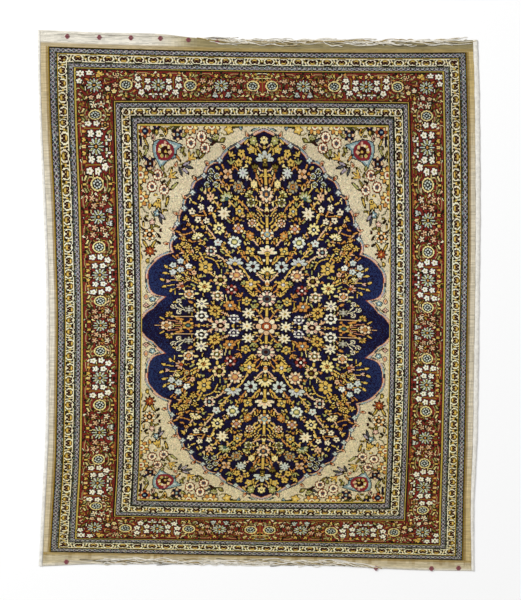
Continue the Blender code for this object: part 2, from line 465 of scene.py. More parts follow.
CORNER_MOTIFS = (
    ("rosette8", "rust peach navy sky", (145, 131, 5.6)),
    ("flower5", "navy pink", (156.5, 126.5, 3.4)),
    ("bud", "olive yellow", (156.5, 132.2, 2.6, 180)),
    ("bud", "yellow orange", (165.5, 131.5, 3.6, 180)),
    ("leaf", "olive", (162.5, 129, 3, 50), (170.5, 127.2, 3, -60)),
    ("leaf", "moss", (176.5, 127.5, 4.6, -52)),
    ("rosette8", "peach navy maroon sky", (177.5, 134.5, 5), (150, 163.5, 5.4)),
    ("bud", "pink maroon", (153, 137, 2.6)),
    ("leaf", "olive yellow", (146, 142.5, 3.2, 30)),
    ("leaf", "navy", (140.8, 142, 2.6)),
    ("leaf", "lime", (146, 152, 3.2, -30)),
    ("leaf", "olive", (141, 155, 2.8, 20)),
    ("leaf", "navy", (146, 158.6, 3, 60)),
    ("rosette10", "orange lemon cream rust", (190, 126, 7.6), (212, 126, 7.6), (140.5, 175, 7.4),
     (140.5, 198.5, 7.4)),
    ("wreath9", "ivory rust slate", (201.5, 136.5, 4.8), (191, 143, 4.8), (205, 148, 4.8),
     (157.5, 175, 4.7), (152, 186.5, 4.7), (164, 189.5, 4.7)),
    ("bud", "olive lime", (184, 135, 2.6, -60), (182.5, 149.5, 2.8, -40), (198, 153, 2.8, 180)),
    ("leaf", "olive", (202, 156, 3, -50)),
    ("sprig3", "yellow orange", (191, 157, 4.6, -40), (172, 175, 4.6, -60)),
    ("leaf", "orange", (178, 158, 3, 40)),
    ("bud", "peach rust", (176, 164.5, 2.6, -30)),
    ("leaf", "lilac", (186.5, 163.5, 3.2, -70)),
    ("leaf", "slate", (188.5, 167, 3.4, -100)),
    ("leaf", "lilac", (185, 170.5, 3.4, -130)),
    ("leaf", "slate", (180.5, 171.5, 3, -160)),
    ("bud", "olive lime", (162.5, 168.5, 2.4, 200)),
    ("leaf", "olive", (151, 172, 2.8, 60), (168.5, 183, 3, -30)),
    ("leaf", "lime", (174, 186, 3.6, -50)),
    ("leaf", "olive yellow", (167, 201.5, 4, -15)),
    ("tulip", "yellow bark", (158, 203, 4.4, 160)),
    ("bud", "yellow orange", (149.5, 206, 2.8, 180)),
    ("flower5", "sky white", (157, 213, 3.2)),
    ("leaf", "lilac", (162, 216, 3.4, -140)),
    ("leaf", "slate", (160.5, 219.5, 3.4, -165)),
    ("flower5", "pink white", (152, 222, 2.8)),
    ("bud", "olive", (151.5, 227.5, 2.6, 180)),
    ("rosette10", "cream orange bark peach", (149.5, 234.5, 6)),
    ("leaf", "olive yellow", (145.2, 244, 4.2, 28), (153.4, 244, 4.2, -28)),
    ("star8", "rust yellow", (150, 251, 4.8)),
    ("bud", "olive yellow", (147.5, 261, 2.8, 180)),
    ("sprig3", "lime moss", (216, 138, 3.4, 20)),
    ("bud", "olive lime", (222.5, 140, 2.8, -60)),
    ("leaf", "slate", (210.5, 140, 2.4, 60)),
    ("leaf", "maroon", (213, 143.5, 2.4, 120)),
    ("flower5", "yellow lemon", (229, 129.5, 4.2, 20)),
    ("leaf", "moss", (236.5, 126.5, 3.4, -75)),
    ("bud", "sky slate", (241, 127.5, 2.6, 180)),
    ("leaf", "sky slate", (257, 129.8, 4.6, -84)),
    ("bud", "pink orange", (146, 297, 3, 180)),
    ("flower5", "sky white", (152.5, 299, 3)),
    ("flower4", "pink maroon", (146, 305.5, 2.6)),
    ("leaf", "olive", (150.5, 306, 2.6, -40), (147, 289.5, 2.8, 10)),
)

# The shield in each corner of the field: a pointed blue frame around a red heart
SHIELD = ((153.8, 142), (158, 140.2), (164, 139.2), (171, 141.2), (182, 145), (175.8, 150), (176.5, 157),
          (170, 159), (165.5, 162), (160.5, 168), (157.8, 161.5), (154.5, 156.5), (152.8, 149))
SHIELD_HEART = (164.5, 150.5)
SHIELD_DOTS = (("yellow", 165.5, 151.5), ("cream", 162.5, 145.5), ("lemon", 168.5, 146.5),
               ("cream", 159.3, 149.5), ("lime", 162, 155.5), ("peach", 170.5, 151.5),
               ("olive", 167, 156), ("pink", 165, 142.5))

MEDALLION_MOTIFS = (
    # The tree on the middle line, from the top down
    ("flower6", "lemon night white", (264, 140.5, 4.6)),
    ("lily5", "ice grey olive yellow", (264.3, 157.5, 8.6)),
    ("tulip", "olive yellow", (264.8, 163.5, 3, 180)),
    ("sprig3", "peach orange", (263.5, 201, 4.2, 180)),
    ("rosette10", "peach cream slate orange", (266.3, 194.2, 8.8)),
    ("bud", "lemon maroon", (266.5, 212, 5.6)),
    ("rosette10", "cream orange sky yellow", (267, 234.3, 7.4)),
    ("lily5", "cream peach yellow olive", (267, 251, 8.8)),
    ("sprig2", "cream", (264, 261, 3)),
    ("fan7", "lemon cream olive orange", (267.5, 271, 8.2)),
    ("bud", "cream orange", (267, 283, 4.6)),
    ("sprig2", "yellow", (264, 288.5, 3.2)),
    ("oval", "white", (266.8, 291.6, 2.2, 90)),
    ("rosette12", "pink cream slate maroon", (267, 299, 9)),
    ("rosette8", "peach cream rust cream", (266.5, 326.3, 10.6)),
    # The rows of flowers, from the top down
    ("flower6", "lime yellow white", (253.5, 140.5, 4.8, 15)),
    ("leaf", "yellow", (246, 142, 3.6, -45)),
    ("flower5", "yellow lime white", (251, 149.5, 4.6, 10)),
    ("flower5", "yellow bark", (241.5, 153.5, 4.7, 30)),
    ("flower4", "yellow bark", (248.5, 160.2, 4.3, 30)),
    ("flower5", "yellow bark", (238.8, 162.8, 4.6)),
    ("sprig3", "yellow", (231.3, 154.5, 4.6, -30)),
    ("sprig3", "lime", (231, 162.2, 4.4)),
    ("flower4", "peach orange rust night", (228, 174, 6.8, 45)),
    ("bud", "yellow lime", (217.5, 167.8, 3, 60)),
    ("leaf", "orange", (222.8, 166.5, 2.6, 20), (233, 168, 2.6, -20)),
    ("ring6", "ice bark lime", (211, 171.3, 3.3), (217, 176, 3.4), (210.3, 178.3, 3.3),
     (207, 184.7, 3.3), (215.6, 184.5, 3.3)),
    ("star8", "ice lilac", (243, 173, 6.4)),
    ("bud", "cream", (247, 177.8, 2.6, 180)),
    ("tulip", "olive rust", (254.8, 168.5, 4.4)),
    ("flower6", "lemon cream olive olive", (254, 184.2, 4.8)),
    ("rosette8", "grey tan orange slate", (238.5, 186.8, 6.9)),
    ("sprig2", "orange", (226.5, 184.5, 3.2, 90)),
    ("leaf", "orange", (223, 181.5, 2.4, 40)),
    ("flower6", "peach navy red orange", (210.5, 197, 5.4)),
    ("bud", "lemon", (216, 198, 2.4, -90)),
    ("lily5", "lime ice teal", (226, 196.5, 7.4, 20)),
    ("sprig3", "yellow", (236, 198.5, 3.8, 20)),
    ("fan5", "lime lemon olive", (248.5, 193.5, 4.8, 30)),
    ("rosette8", "lime cream olive navy", (251, 202.5, 5.5)),
    ("leaf", "lemon", (260, 204, 3.4)),
    ("leaf", "yellow", (194.5, 203, 3.2, 60), (199, 197.5, 3, -20)),
    ("sprig2", "lime", (202, 190, 3.4, 30)),
    ("flower5", "cream bark", (192, 211.5, 4.1), (201, 207, 4.1, 20), (210.5, 208.5, 4.1),
     (198, 219.5, 4.1, 30), (206.5, 220.5, 4.1, 10)),
    ("star8", "cream peach lime", (224, 213.5, 8, 22)),
    ("flower6", "yellow sky white orange", (239.5, 211, 6)),
    ("sprig2", "lime", (236, 204.5, 3.2, 10)),
    ("fan5", "yellow olive orange", (250.5, 214.5, 4.8, 20)),
    ("ring6", "lemon bark orange", (258, 215.5, 3)),
    ("rosette8", "peach cream orange lilac", (252, 223, 5.4)),
    ("sprig3", "yellow", (185.5, 218, 3.4, 60)),
    ("leaf", "orange", (188.5, 224.5, 3, 30)),
    ("sprig2", "yellow", (193, 227, 3, 60)),
    ("flower4", "yellow orange", (203, 227, 2.6)),
    ("flower8", "lemon navy white olive", (219, 228.5, 8, 10)),
    ("leaf", "lime", (229, 221.5, 2.8, 40)),
    ("leaf", "yellow", (233, 219.5, 2.8, -20)),
    ("rosette8", "orange cream salmon lilac", (238.5, 228.5, 6.5)),
    ("leaf", "orange", (178, 231.8, 3.4, 70), (184.5, 229, 3.2, 110)),
    ("fan7", "lemon cream olive white", (197.5, 236, 6.2, 20)),
    ("ring6", "orange bark yellow", (183.5, 238.5, 3)),
    ("leaf", "orange", (190.5, 241, 3, 50)),
    ("leaf", "yellow", (209.5, 234.5, 3, 30), (229, 235.5, 2.8, -30)),
    ("leaf", "lime", (243.5, 236.5, 2.8, 30)),
    ("flower6", "orange lime cream rust", (250, 235.5, 5.2)),
    ("flower5", "ice pink maroon", (218, 242.5, 5)),
    ("rosette8", "ice ivory lime lemon", (234.5, 242, 7.4, 10)),
    ("sprig2", "yellow", (204, 243.5, 3.2, 20)),
    ("leaf", "yellow", (245, 243.5, 2.8, 20)),
    ("leaf", "orange", (260, 243, 2.8, -20)),
    ("star5", "yellow bark", (177.5, 247, 3.8), (182.8, 243.8, 3.4, 20), (188.3, 246, 3.6),
     (197, 248.5, 3.8), (186, 256, 3.8, 10), (195.2, 257, 3.8)),
    ("rosette8", "cream pink maroon sky", (211, 251, 6.2)),
    ("flower4", "yellow teal lemon bark", (250, 251, 6, 35)),
    ("leaf", "lime", (222, 252, 2.8, 50)),
    ("leaf", "yellow", (238.5, 252, 2.8, -40)),
    ("leaf", "orange", (174.5, 257, 3, 40)),
    ("leaf", "yellow", (217, 261, 2.8, -60)),
    ("bud", "yellow olive", (225.5, 264.8, 2.8, 20)),
    ("lily5", "ice lilac yellow", (235, 261.5, 7.6)),
    ("flower8", "ice maroon", (252.8, 266.5, 7.8, 22)),
    ("flower6", "yellow slate lemon", (205.5, 267, 8)),
    ("rosette10", "peach cream salmon yellow", (236.5, 275, 7.5)),
    ("rosette8", "lemon peach maroon olive", (220.5, 280, 7)),
    ("leaf", "lime", (221.5, 271, 2.8)),
    ("bud", "yellow", (218, 288, 2.6, 180)),
    ("flower5", "ice sky", (180.5, 261, 3.9)),
    ("flower5", "ice slate", (173, 265, 3.9, 20)),
    ("flower5", "ice lilac", (173, 272, 3.9)),
    ("flower5", "ice slate", (180.5, 269.5, 3.9, 20)),
    ("flower5", "white sky", (188.5, 266, 3.9)),
    ("tulip", "lemon olive", (178.5, 277.5, 3.2)),
    ("bud", "yellow", (166, 266.5, 2.6, 40), (165, 273, 2.6, 90), (162, 279.5, 2.6, 60),
     (164, 286.5, 2.6, 110), (171, 290.5, 2.6, 160)),
    ("fan5", "pink orange rust", (180, 285.5, 5, 70)),
    ("sprig2", "pink", (168.5, 281, 3.2, 90)),
    ("flower5", "peach rust", (194, 272.5, 3.2)),
    ("ring6", "orange bark lemon", (188, 278.5, 3)),
    ("bud", "yellow", (195.5, 279, 2.6, 30), (200.5, 275.5, 2.6, -30)),
    ("leaf", "lime", (193, 285, 3, 60)),
    ("flower8", "lemon orange bark olive", (204.5, 286.5, 7.4)),
    ("rosette8", "brick pink maroon white", (231.5, 289.5, 6)),
    ("flower6", "yellow lilac white olive", (251, 284.3, 7)),
    ("sprig3", "lime", (243.5, 283, 3.4, 60)),
    ("sprig3", "yellow", (253.5, 294.5, 4.4)),
    ("sprig3", "orange", (240, 295.5, 4, 30)),
    ("rosette8", "peach cream orange lilac", (189, 294, 5.6)),
    ("bud", "lemon", (180.5, 294, 2.4, 90), (197, 293.5, 2.4, -90)),
    ("rosette8", "cream peach olive white", (217.5, 295.5, 6.2)),
    ("star8", "cream slate lilac", (201.5, 303.5, 6.8)),
    ("bud", "orange", (190.5, 302, 2.6, 60)),
    ("leaf", "yellow", (194.8, 305, 2.4, 20)),
    ("flower6", "yellow teal lemon olive", (246.5, 301.3, 5.3)),
    ("flower6", "orange sky white rust", (230, 305.5, 6.6, 30)),
    ("leaf", "lime", (230.5, 297.5, 2.8)),
    ("sprig2", "yellow", (213.5, 303.5, 3.4, 20)),
    ("leaf", "lime", (221.5, 303.5, 2.8, -30)),
    ("leaf", "yellow", (239, 307.5, 2.8, 30)),
    ("ring6", "cream navy cream", (179, 301, 2.8), (173.5, 306.3, 2.8), (179, 311.7, 2.8)),
    ("star6", "grey white maroon", (189, 309.5, 5)),
    ("fan5", "yellow orange olive", (168.5, 314, 3.8, 40)),
    ("flower8", "yellow maroon orange olive", (215, 310.8, 6.8)),
    ("star8", "cream olive yellow", (248.5, 313.3, 6.6, 22)),
    ("sprig3", "lime", (253.8, 306.5, 4, -20)),
    ("leaf", "yellow", (260.5, 312, 3, -30)),
    ("rosette8", "white cream bark white", (201.5, 316, 6.6)),
    ("leaf", "orange", (179.5, 318.8, 4.2, 80)),
    ("leaf", "yellow", (162, 318, 2.8, 60)),
    ("rosette8", "white lilac navy white", (234, 318.8, 5.4)),
    # The row on the line across the middle
    ("bud", "peach orange", (157, 325.8, 3.2, 90)),
    ("rosette8", "peach cream orange teal", (166.5, 325.8, 6.4)),
    ("rosette8", "orange yellow teal sky", (188, 326, 6.4)),
    ("bud", "yellow orange", (203.5, 326, 3.2, 90)),
    ("rosette10", "cream pink maroon peach", (220.5, 326.2, 8.8)),
    ("star8", "cream yellow orange", (247, 326.3, 6.6)),
)

# Stems of the tree: a colour and a width, then for each stem the places that it passes through
STEMS = (
    ("yellow", 0.9, ((265.2, 163), (265.4, 189))),
    ("peach", 0.6, ((265, 151), (260.5, 146), (256.5, 143)), ((264, 171), (260.5, 170), (257, 166)),
     ((258, 176), (261, 181), (262, 188)), ((215, 255), (221, 257.5), (227, 260.5)),
     ((241, 266), (245, 272), (250, 278)), ((258, 271), (261, 275), (264, 280)),
     ((172, 316.5), (182, 316.2), (196, 316.6))),
    ("orange", 0.9, ((264, 144), (264.3, 152))),
    ("yellow", 0.8, ((266.5, 203), (266.6, 208)), ((266.7, 217), (266.9, 228)),
     ((267, 241), (267, 246)), ((267, 257), (267.2, 263)), ((267, 276), (267, 279)),
     ((267, 303), (267, 318))),
    ("yellow", 0.6, ((260.5, 218), (262, 222), (266, 224.5)), ((224, 247), (227, 249), (230, 253)),
     ((238, 249), (241, 251.5), (243, 256)), ((213.5, 239), (211, 237), (209, 233.5)),
     ((205, 257), (212, 259), (217, 263.5), (219, 268)), ((173, 326), (181, 326)),
     ((194.5, 326), (200, 326)), ((226, 326.3), (240, 326.3)), ((253.5, 326.3), (257, 326.3))),
    ("orange", 0.6, ((221, 185), (227, 185.3), (232.5, 185)),
     ((194, 214), (200, 215.5), (207, 215), (215, 211), (221, 204)),
     ((180, 234), (185, 234.5), (192, 232)), ((188, 241), (192, 242), (196, 241)),
     ((181, 251), (186, 251.5), (190, 250.5), (200, 253))),
    ("peach", 0.5, ((247, 156), (244, 158), (241, 160)), ((240, 321), (243, 322), (245, 324))),
    ("salmon", 0.6, ((187, 272), (191, 274.5), (196, 278.5), (201, 282))),
    ("cream", 0.5, ((179, 304), (183, 307.5), (186, 309)), ((176, 307), (181, 309), (185, 310))),
    ("orange", 0.5, ((244, 190), (247, 190), (250, 187)), ((225, 236), (228, 239), (230, 240)),
     ((243, 232), (246, 233), (249, 231)), ((258, 284), (261, 287), (264, 293)),
     ((237, 301), (241, 300), (243, 300)), ((208, 305), (211, 306), (213, 309)),
     ((208, 319), (212, 321), (214, 324))),
    ("yellow", 0.5, ((232, 201), (230, 205), (227, 208)), ((256, 209), (260, 212), (263, 216)),
     ((256, 237), (260, 238.5), (263, 243)), ((255, 255), (259, 257), (262, 262)),
     ((223, 286), (227, 288), (229, 291)), ((211, 291), (214, 292), (215, 295)),
     ((222, 312), (227, 313), (231, 317))),
)

# Stems that spread like a hand: the colour, where they part and the places they reach
HANDS = (
    ("yellow", (186, 281), (167, 267), (166, 273), (163, 279.5), (165, 286), (172, 290)),
    ("salmon", (197, 325), (163, 319.5), (160, 322.5)),
    ("salmon", (192, 270), (174, 265), (174, 272)),
)

# Stems of the field's corners
CORNER_STEMS = (
    ("moss", 0.6, ((167, 128), (173, 129.5), (180, 126)),
     ((210, 135), (213, 139.5), (217, 142), (224, 142)), ((142, 207), (144.5, 211), (148, 213)),
     ((151, 212), (153.5, 216), (155, 220)), ((196, 149), (199, 151), (203, 155)),
     ((150, 192), (148, 199), (149, 204))),
    ("maroon", 0.6, ((196, 139), (194, 141)), ((203, 141), (204.5, 144)),
     ((155, 179), (153.5, 182.5)), ((159.5, 179), (162.5, 185.5))),
    ("olive", 0.6, ((178, 165), (183, 163.5), (188, 160.5)), ((167, 172), (170, 168), (175, 166)),
     ((165, 194), (166, 198), (167, 201)), ((221, 133), (224, 134.5), (229, 134), (231, 132)),
     ((184, 137), (187, 140)), ((150, 255), (150, 258), (148, 259))),
)

# The medallion's outline in the top left quarter: a smooth arc bulges out from each cusp to the next
Cusp = namedtuple("Cusp", "x y bulge")
CUSPS = (
    Cusp(264.5, 131, 0), Cusp(257, 134.3, 0.2), Cusp(239.5, 145.5, 3.3), Cusp(221, 162.5, 4.9),
    Cusp(205, 177, 4.4), Cusp(193, 195, 3.4), Cusp(185.5, 208, 2.5), Cusp(180, 223, 2.6),
    Cusp(175.5, 237, 2.7), Cusp(174, 252.5, 3.2), Cusp(149.5, 268.5, 0.6), Cusp(148, 277, 6.8),
    Cusp(166, 296.5, 0.6), Cusp(153.5, 308.5, 1.2), Cusp(142.3, 319, 0),
)

# Small blossoms around the medallion, and buds with their turns
BLOSSOMS_OUTSIDE = ((237.5, 145.5), (219.5, 160.5), (204, 175.5), (192.5, 192.5), (184, 208),
                    (177.3, 223.5), (174.3, 237.5))
BUDS_OUTSIDE = ((247, 134.5, 20), (223.5, 147, 40), (206.8, 163, 45), (194.5, 178, 50),
                (184.3, 197, 60), (175.8, 213.5, 70), (172, 229, 75), (166, 243.5, 80))

# Places along each of the outline's arcs
ARC_STEPS = 10


def arcs(cusps):
    """The woven places along the outline."""
    line = []
    for here, there in zip(cusps, cusps[1:]):
        run = np.array((there.x - here.x, there.y - here.y))
        outward = np.array((run[1], -run[0])) / np.hypot(*run)
        if outward[0] > 0:
            outward = -outward
        for step in range(ARC_STEPS):
            share = step / ARC_STEPS
            x, y = (here.x, here.y) + run * share + outward * here.bulge * sin(pi * share)
            line.append(woven(x, y))
    return line + [woven(cusps[-1].x, cusps[-1].y)]


def inside(chart, outline):
    """Which cells lie inside a closed outline."""
    left, up = np.meshgrid(chart.left, chart.up)
    within = np.zeros(left.shape, bool)
    for (l0, u0), (l1, u1) in zip(outline, outline[1:] + outline[:1]):
        if u0 != u1:
            crosses = (u0 > up) != (u1 > up)
            within ^= crosses & (left < (l1 - l0) * (up - u0) / (u1 - u0) + l0)
    return within


def distance(chart, line):
    """How far each cell lies from a line, and how far along it the nearest place is."""
    left, up = np.meshgrid(chart.left, chart.up)
    nearest = np.full(left.shape, 99.0)
    along = np.zeros(left.shape)
    run = 0.0
    for (l0, u0), (l1, u1) in zip(line, line[1:]):
        length = max(np.hypot(l1 - l0, u1 - u0), 1e-6)
        share = np.clip(((left - l0) * (l1 - l0) + (up - u0) * (u1 - u0)) / length**2, 0, 1)
        away = np.hypot(left - l0 - share * (l1 - l0), up - u0 - share * (u1 - u0))
        closer = away < nearest
        nearest[closer] = away[closer]
        along[closer] = (run + share * length)[closer]
        run += length
    return nearest, along


# The flowers near the tree's top are a little smaller
CROWDED_ROWS = (150, 190, 225, 265, 300)
CROWDED_SHARES = (0.82, 0.77, 0.80, 0.92, 0.98)

# The trunk runs up the middle line, and the flowers' stems run down and in towards it, with a leaf
# at every step. They lie flattest at the middle row, the rug's own middle in the photo.
TRUNK = ((0.4, 1.0), (0.4, 45.0), (0.4, 100.0), (0.4, 150.0), (0.4, 193.0))
AXIS_FLOWERS_FROM = 260
SMALLEST_ON_STEM = 3.2
SHORTEST_STEM = 7
LONGEST_STEM = 36
WIDEST_BEND = 38
LEAF_STEP = 4.0
MIDDLE_ROW = 326.0

# How far the outlines that take in cells go past the rug's middle lines and the field's side
PAST = 9

# The length of a link in the medallion's rim, and the share of darker knots in its ground
LINK_LENGTH = 5.5
NIGHT_SHARE = 0.25

# Where small leaves fill the ground: in the medallion up to this far out, and in the field's corners
# from this far out of the medallion, down to this depth from the field's edge and this far up
LEAVES_TO = 94
CORNER_CLEARANCE = 13
CORNER_DEPTH = 27
CORNER_FROM = 50


def draw_shield(chart):
    """The corner's pointed frame, with a heart, a ring of beads in it, and small dots."""
    frame_line = [woven(*point) for point in SHIELD]
    away, _ = distance(chart, frame_line + frame_line[:1])
    chart.ink[away < 0.9] = INKS["bark"]
    shield = inside(chart, frame_line)
    chart.ink[shield] = INKS["sky"]
    chart.ink[shield & (away > 1.9)] = INKS["ice"]
    cells, x, y = chart.around(*woven(*SHIELD_HEART), 13, -38)
    heart = np.hypot(x, 1.12 * (y + 1.2 - 0.5 * np.sqrt(np.abs(x) * 2)))
    for reach, ink in ((10.0, "slate"), (9.4, "crimson"), (6.0, "maroon")):
        cells[heart < reach] = INKS[ink]
    beads(cells, x, y, all_round(7, 20), 5.2, 1.5, *["peach"] * 3, *["yellow"] * 3)
    for ink, x, y in SHIELD_DOTS:
        disc(*chart.around(*woven(x, y), 3), 1.25, ink)


def draw_rim(chart, outside, away, along):
    """The lines around the medallion, with a row of coloured links between them."""
    for reach, ink in ((4.0, "sand"), (3.2, "bark")):
        chart.ink[outside & (away < reach)] = INKS[ink]
    link = (along // LINK_LENGTH).astype(int) % 4
    for number, ink in enumerate(("lilac", "pink", "slate", "sky")):
        chart.ink[outside & (away < 2.7) & (link == number)] = INKS[ink]
    for reach, ink in ((1.1, "peach"), (0.4, "rust")):
        chart.ink[outside & (away < reach)] = INKS[ink]


def draw_ground(chart, ground, left, up):
    """The medallion's navy ground, with darker knots and a brighter blue in its side lobes."""
    chart.ink[ground] = INKS["navy"]
    pick = np.random.default_rng(5)
    row_shift = np.interp(chart.up, np.arange(0, 310, 3), pick.uniform(-8, 8, 104))
    royal_share = np.interp(left + row_shift[:, None], (82, 114), (0.05, 0.62))
    royal_share = royal_share * np.interp(up, (18, 36, 80, 84), (0.35, 1, 1, 0.5))
    chart.ink[ground & (pick.random(left.shape) < NIGHT_SHARE)] = INKS["night"]
    chart.ink[ground & (pick.random(left.shape) < royal_share)] = INKS["royal"]


def draw_field(chart):
    """The cream corners with their shields and vines, and the medallion with its tree of flowers."""
    chart.ink[:] = INKS["sand"]
    chart.outline = "bark"
    draw_stems(chart, CORNER_STEMS)
    draw_shield(chart)
    draw_motifs(chart, CORNER_MOTIFS)

    left, up = np.meshgrid(chart.left, chart.up)
    edge = arcs(CUSPS)
    side, top = FIELD_HALF_WIDTH + PAST, edge[0][1]
    ground = inside(chart, edge + [(side, edge[-1][1]), (side, -PAST), (-PAST, -PAST), (-PAST, top)])
    away, along = distance(chart, edge)
    draw_rim(chart, ~ground, away, along)
    draw_ground(chart, ground, left, up)
    chart.outline = "slate"
    for x, y in BLOSSOMS_OUTSIDE:
        draw(chart, "flower4", woven(x, y), 2.5, 0, "ice sky")
    chart.outline = "bark"
    for x, y, turn in BUDS_OUTSIDE:
        draw(chart, "bud", woven(x, y), 2.5, turn, "peach rust")
    draw_tree(chart)

    leafy = inside(chart, edge + [(side, edge[-1][1]), (-PAST, -PAST), (-PAST, top)])
    fill_gaps(chart, leafy & (left < LEAVES_TO), ("navy", "night", "royal"),
              ("yellow", "orange", "gold", "lemon", "lime", "yellow"), tries=700, sizes=(1.3, 2.0),
              seed=7, bare=0.97)
    near_edge = np.minimum(FIELD_HALF_WIDTH - left, FIELD_HALF_HEIGHT - up)
    corner = ~ground & (away > CORNER_CLEARANCE) & (near_edge < CORNER_DEPTH) & (up > CORNER_FROM)
    chart.outline = "bark"
    fill_gaps(chart, corner, ("sand",), ("olive", "moss", "bark", "yellow", "bark", "maroon"),
              tries=4600, sizes=(1.1, 2.2), seed=9, bare=0.92)
    worn = np.random.default_rng(10).random(chart.ink.shape)
    chart.ink[(chart.ink == INKS["sand"]) & (worn > 0.88)] = INKS["cream"]
    chart.ink[(chart.ink == INKS["sand"]) & (worn < 0.10)] = INKS["grey"]


def draw_tree(chart):
    """The medallion's stems, the trunk and the flowers on them."""
    chart.outline = "night"
    draw_stems(chart, STEMS, "night")
    for ink, hub, *tips in HANDS:
        for tip_x, tip_y in tips:
            elbow = (hub[0] * 0.55 + tip_x * 0.45, tip_y * 0.6 + hub[1] * 0.4)
            stem(chart, [woven(*hub), woven(*elbow), woven(tip_x, tip_y)], ink, 0.5, "night")
    motifs = listed(MEDALLION_MOTIFS)
    for number, motif in enumerate(motifs):
        if motif.size > SMALLEST_ON_STEM and motif.x < AXIS_FLOWERS_FROM:
            branch(chart, motif, motifs, number)
    stem(chart, TRUNK, "yellow", 0.9, "night")
    for motif in motifs:
        size = motif.size * float(np.interp(motif.y, CROWDED_ROWS, CROWDED_SHARES))
        draw(chart, motif.kind, woven(motif.x, motif.y), size, motif.turn, motif.inks)


def fall_angle(y):
    """How steeply a stem falls towards the trunk: steeper the further it is from the middle row."""
    return 8 + 44 * min(max((MIDDLE_ROW - y) / 60, 0), 1) ** 0.7


def next_flower(motif, motifs):
    """The flower that a stem reaches next on its way down to the trunk."""
    best, best_cost = None, 99.0
    for other in motifs:
        run, drop = other.x - motif.x, other.y - motif.y
        length = np.hypot(run, drop)
        if other.size <= SMALLEST_ON_STEM or not SHORTEST_STEM <= length <= LONGEST_STEM:
            continue
        off = abs(np.degrees(np.arctan2(drop, run)) - fall_angle(motif.y))
        cost = length + off * 0.8
        if off < WIDEST_BEND and cost < best_cost:
            best, best_cost = other, cost
    return best


def branch(chart, motif, motifs, number):
    """The stem of a flower, gently bent, down to the next flower, with leaves on both sides."""
    pick = np.random.default_rng(100 + number)
    goal = next_flower(motif, motifs)
    if goal is None:
        return
    ink = ("peach", "yellow", "orange", "yellow")[number % 4]
    start = np.array(woven(motif.x, motif.y))
    finish = np.array(woven(goal.x, goal.y))
    run = finish - start
    length = np.hypot(*run)
    aside = np.array((-run[1], run[0])) / length
    middle = (start + finish) / 2 + aside * pick.uniform(-0.09, 0.09) * length
    stem(chart, (start, middle, finish), ink, 0.2, "night")
    side = pick.choice((-1, 1))
    for reach in np.arange(motif.size + 1.2, length - goal.size, LEAF_STEP):
        side = -side
        place = start + run * reach / length
        turn = -np.degrees(np.arctan2(run[0], run[1])) + 180 + side * 42
        swing = radians(turn)
        place = place + np.array((-sin(swing), cos(swing))) * 2.0
        size = pick.uniform(1.8, 2.6)
        draw(chart, "leaf", place, size, turn, pick.choice(("yellow", "orange", "lemon", "peach")))
    stem(chart, (start, middle, finish), ink, 0.68)


def fill_gaps(chart, where, grounds, inks, tries, sizes, seed, bare):
    """Small leaves on short stalks wherever the ground is still bare enough."""
    pick = np.random.default_rng(seed)
    numbers = [INKS[name] for name in grounds]
    rows, columns = np.nonzero(where)
    for _ in range(tries):
        at = pick.integers(len(rows))
        row, column = rows[at], columns[at]
        turn = pick.uniform(-75, 75)
        ink = inks[pick.integers(len(inks))]
        size = pick.uniform(*sizes)
        reach = int((size + 0.5) / KNOT)
        first_row, first_column = max(row - reach, 0), max(column - reach, 0)
        window = chart.ink[first_row:row + reach + 1, first_column:column + reach + 1]
        if np.isin(window, numbers).mean() < bare:
            continue
        left, up = column * KNOT, row * KNOT
        draw(chart, "leaf", (left, up), size, turn, ink)
        foot = np.array((-sin(radians(turn)), cos(radians(turn)))) * -size
        stem(chart, ((left, up) + foot * 0.8, (left, up) + foot * 1.9), ink, 0.45)


# The borders, from the pile's edge inward: each band's inner edge and its colour or its pattern
BORDER_WIDTH = 85.5
MAIN_MIDDLE = 44.0
Band = namedtuple("Band", "inner fill")
BANDS = (
    Band(0.85, "brass"), Band(2.1, "pine"), Band(7.6, "lattice"), Band(8.5, "pine"),
    Band(9.3, "gold"), Band(17.9, "vine"), Band(19.0, "pine"), Band(24.3, "lattice_back"),
    Band(25.2, "pine"), Band(26.05, "straw"), Band(27.1, "pine"), Band(61.2, "red"),
    Band(62.2, "pine"), Band(63.05, "straw"), Band(64.1, "pine"), Band(68.5, "lattice"),
    Band(69.5, "pine"), Band(77.9, "vine"), Band(79.0, "pine"), Band(83.6, "lattice_back"),
    Band(84.6, "pine"), Band(85.5, "straw"),
)
LATTICE_PERIOD = 5.0
VINE_PERIOD = 29.0

# Where the rows at the ends pack closer, a border's depth there is this far up the rug
END_UPS = (FIELD_HALF_HEIGHT, 219.5, HALF_HEIGHT)
END_DEPTHS = (BORDER_WIDTH, 78.0, 0.0)


def lattice(along, across, half):
    """Crossed threads: a small X at every period in greys and lilac, and a green strip beside them."""
    pick = np.random.default_rng(len(along)).random(along.shape)
    phase = np.abs((along / LATTICE_PERIOD) % 1 * 2 - 1)
    height = np.abs(across / half + 0.18) / 0.72
    ink = np.where(height < 0.94, INKS["slate"], INKS["pine"])
    ink[np.abs(phase - height) < 0.21] = INKS["lilac"]
    ink[phase + height < 0.30] = INKS["ice"]
    ink[(phase > 0.80) & (height < 0.36)] = INKS["maroon"]
    ink[(pick < 0.20) & (ink == INKS["slate"])] = INKS["pine"]
    strip = across / half > 0.50
    for share, name in ((1.0, "moss"), (0.55, "slate"), (0.15, "pine")):
        ink[strip & (pick < share)] = INKS[name]
    ink[pick > 0.91] = INKS["grey"]
    ink[(pick > 0.86) & (pick < 0.91)] = INKS["sky"]
    return ink


def lattice_back(along, across, half):
    """The same band turned over, with its green strip towards the rug's edge."""
    return lattice(along, -across, half)


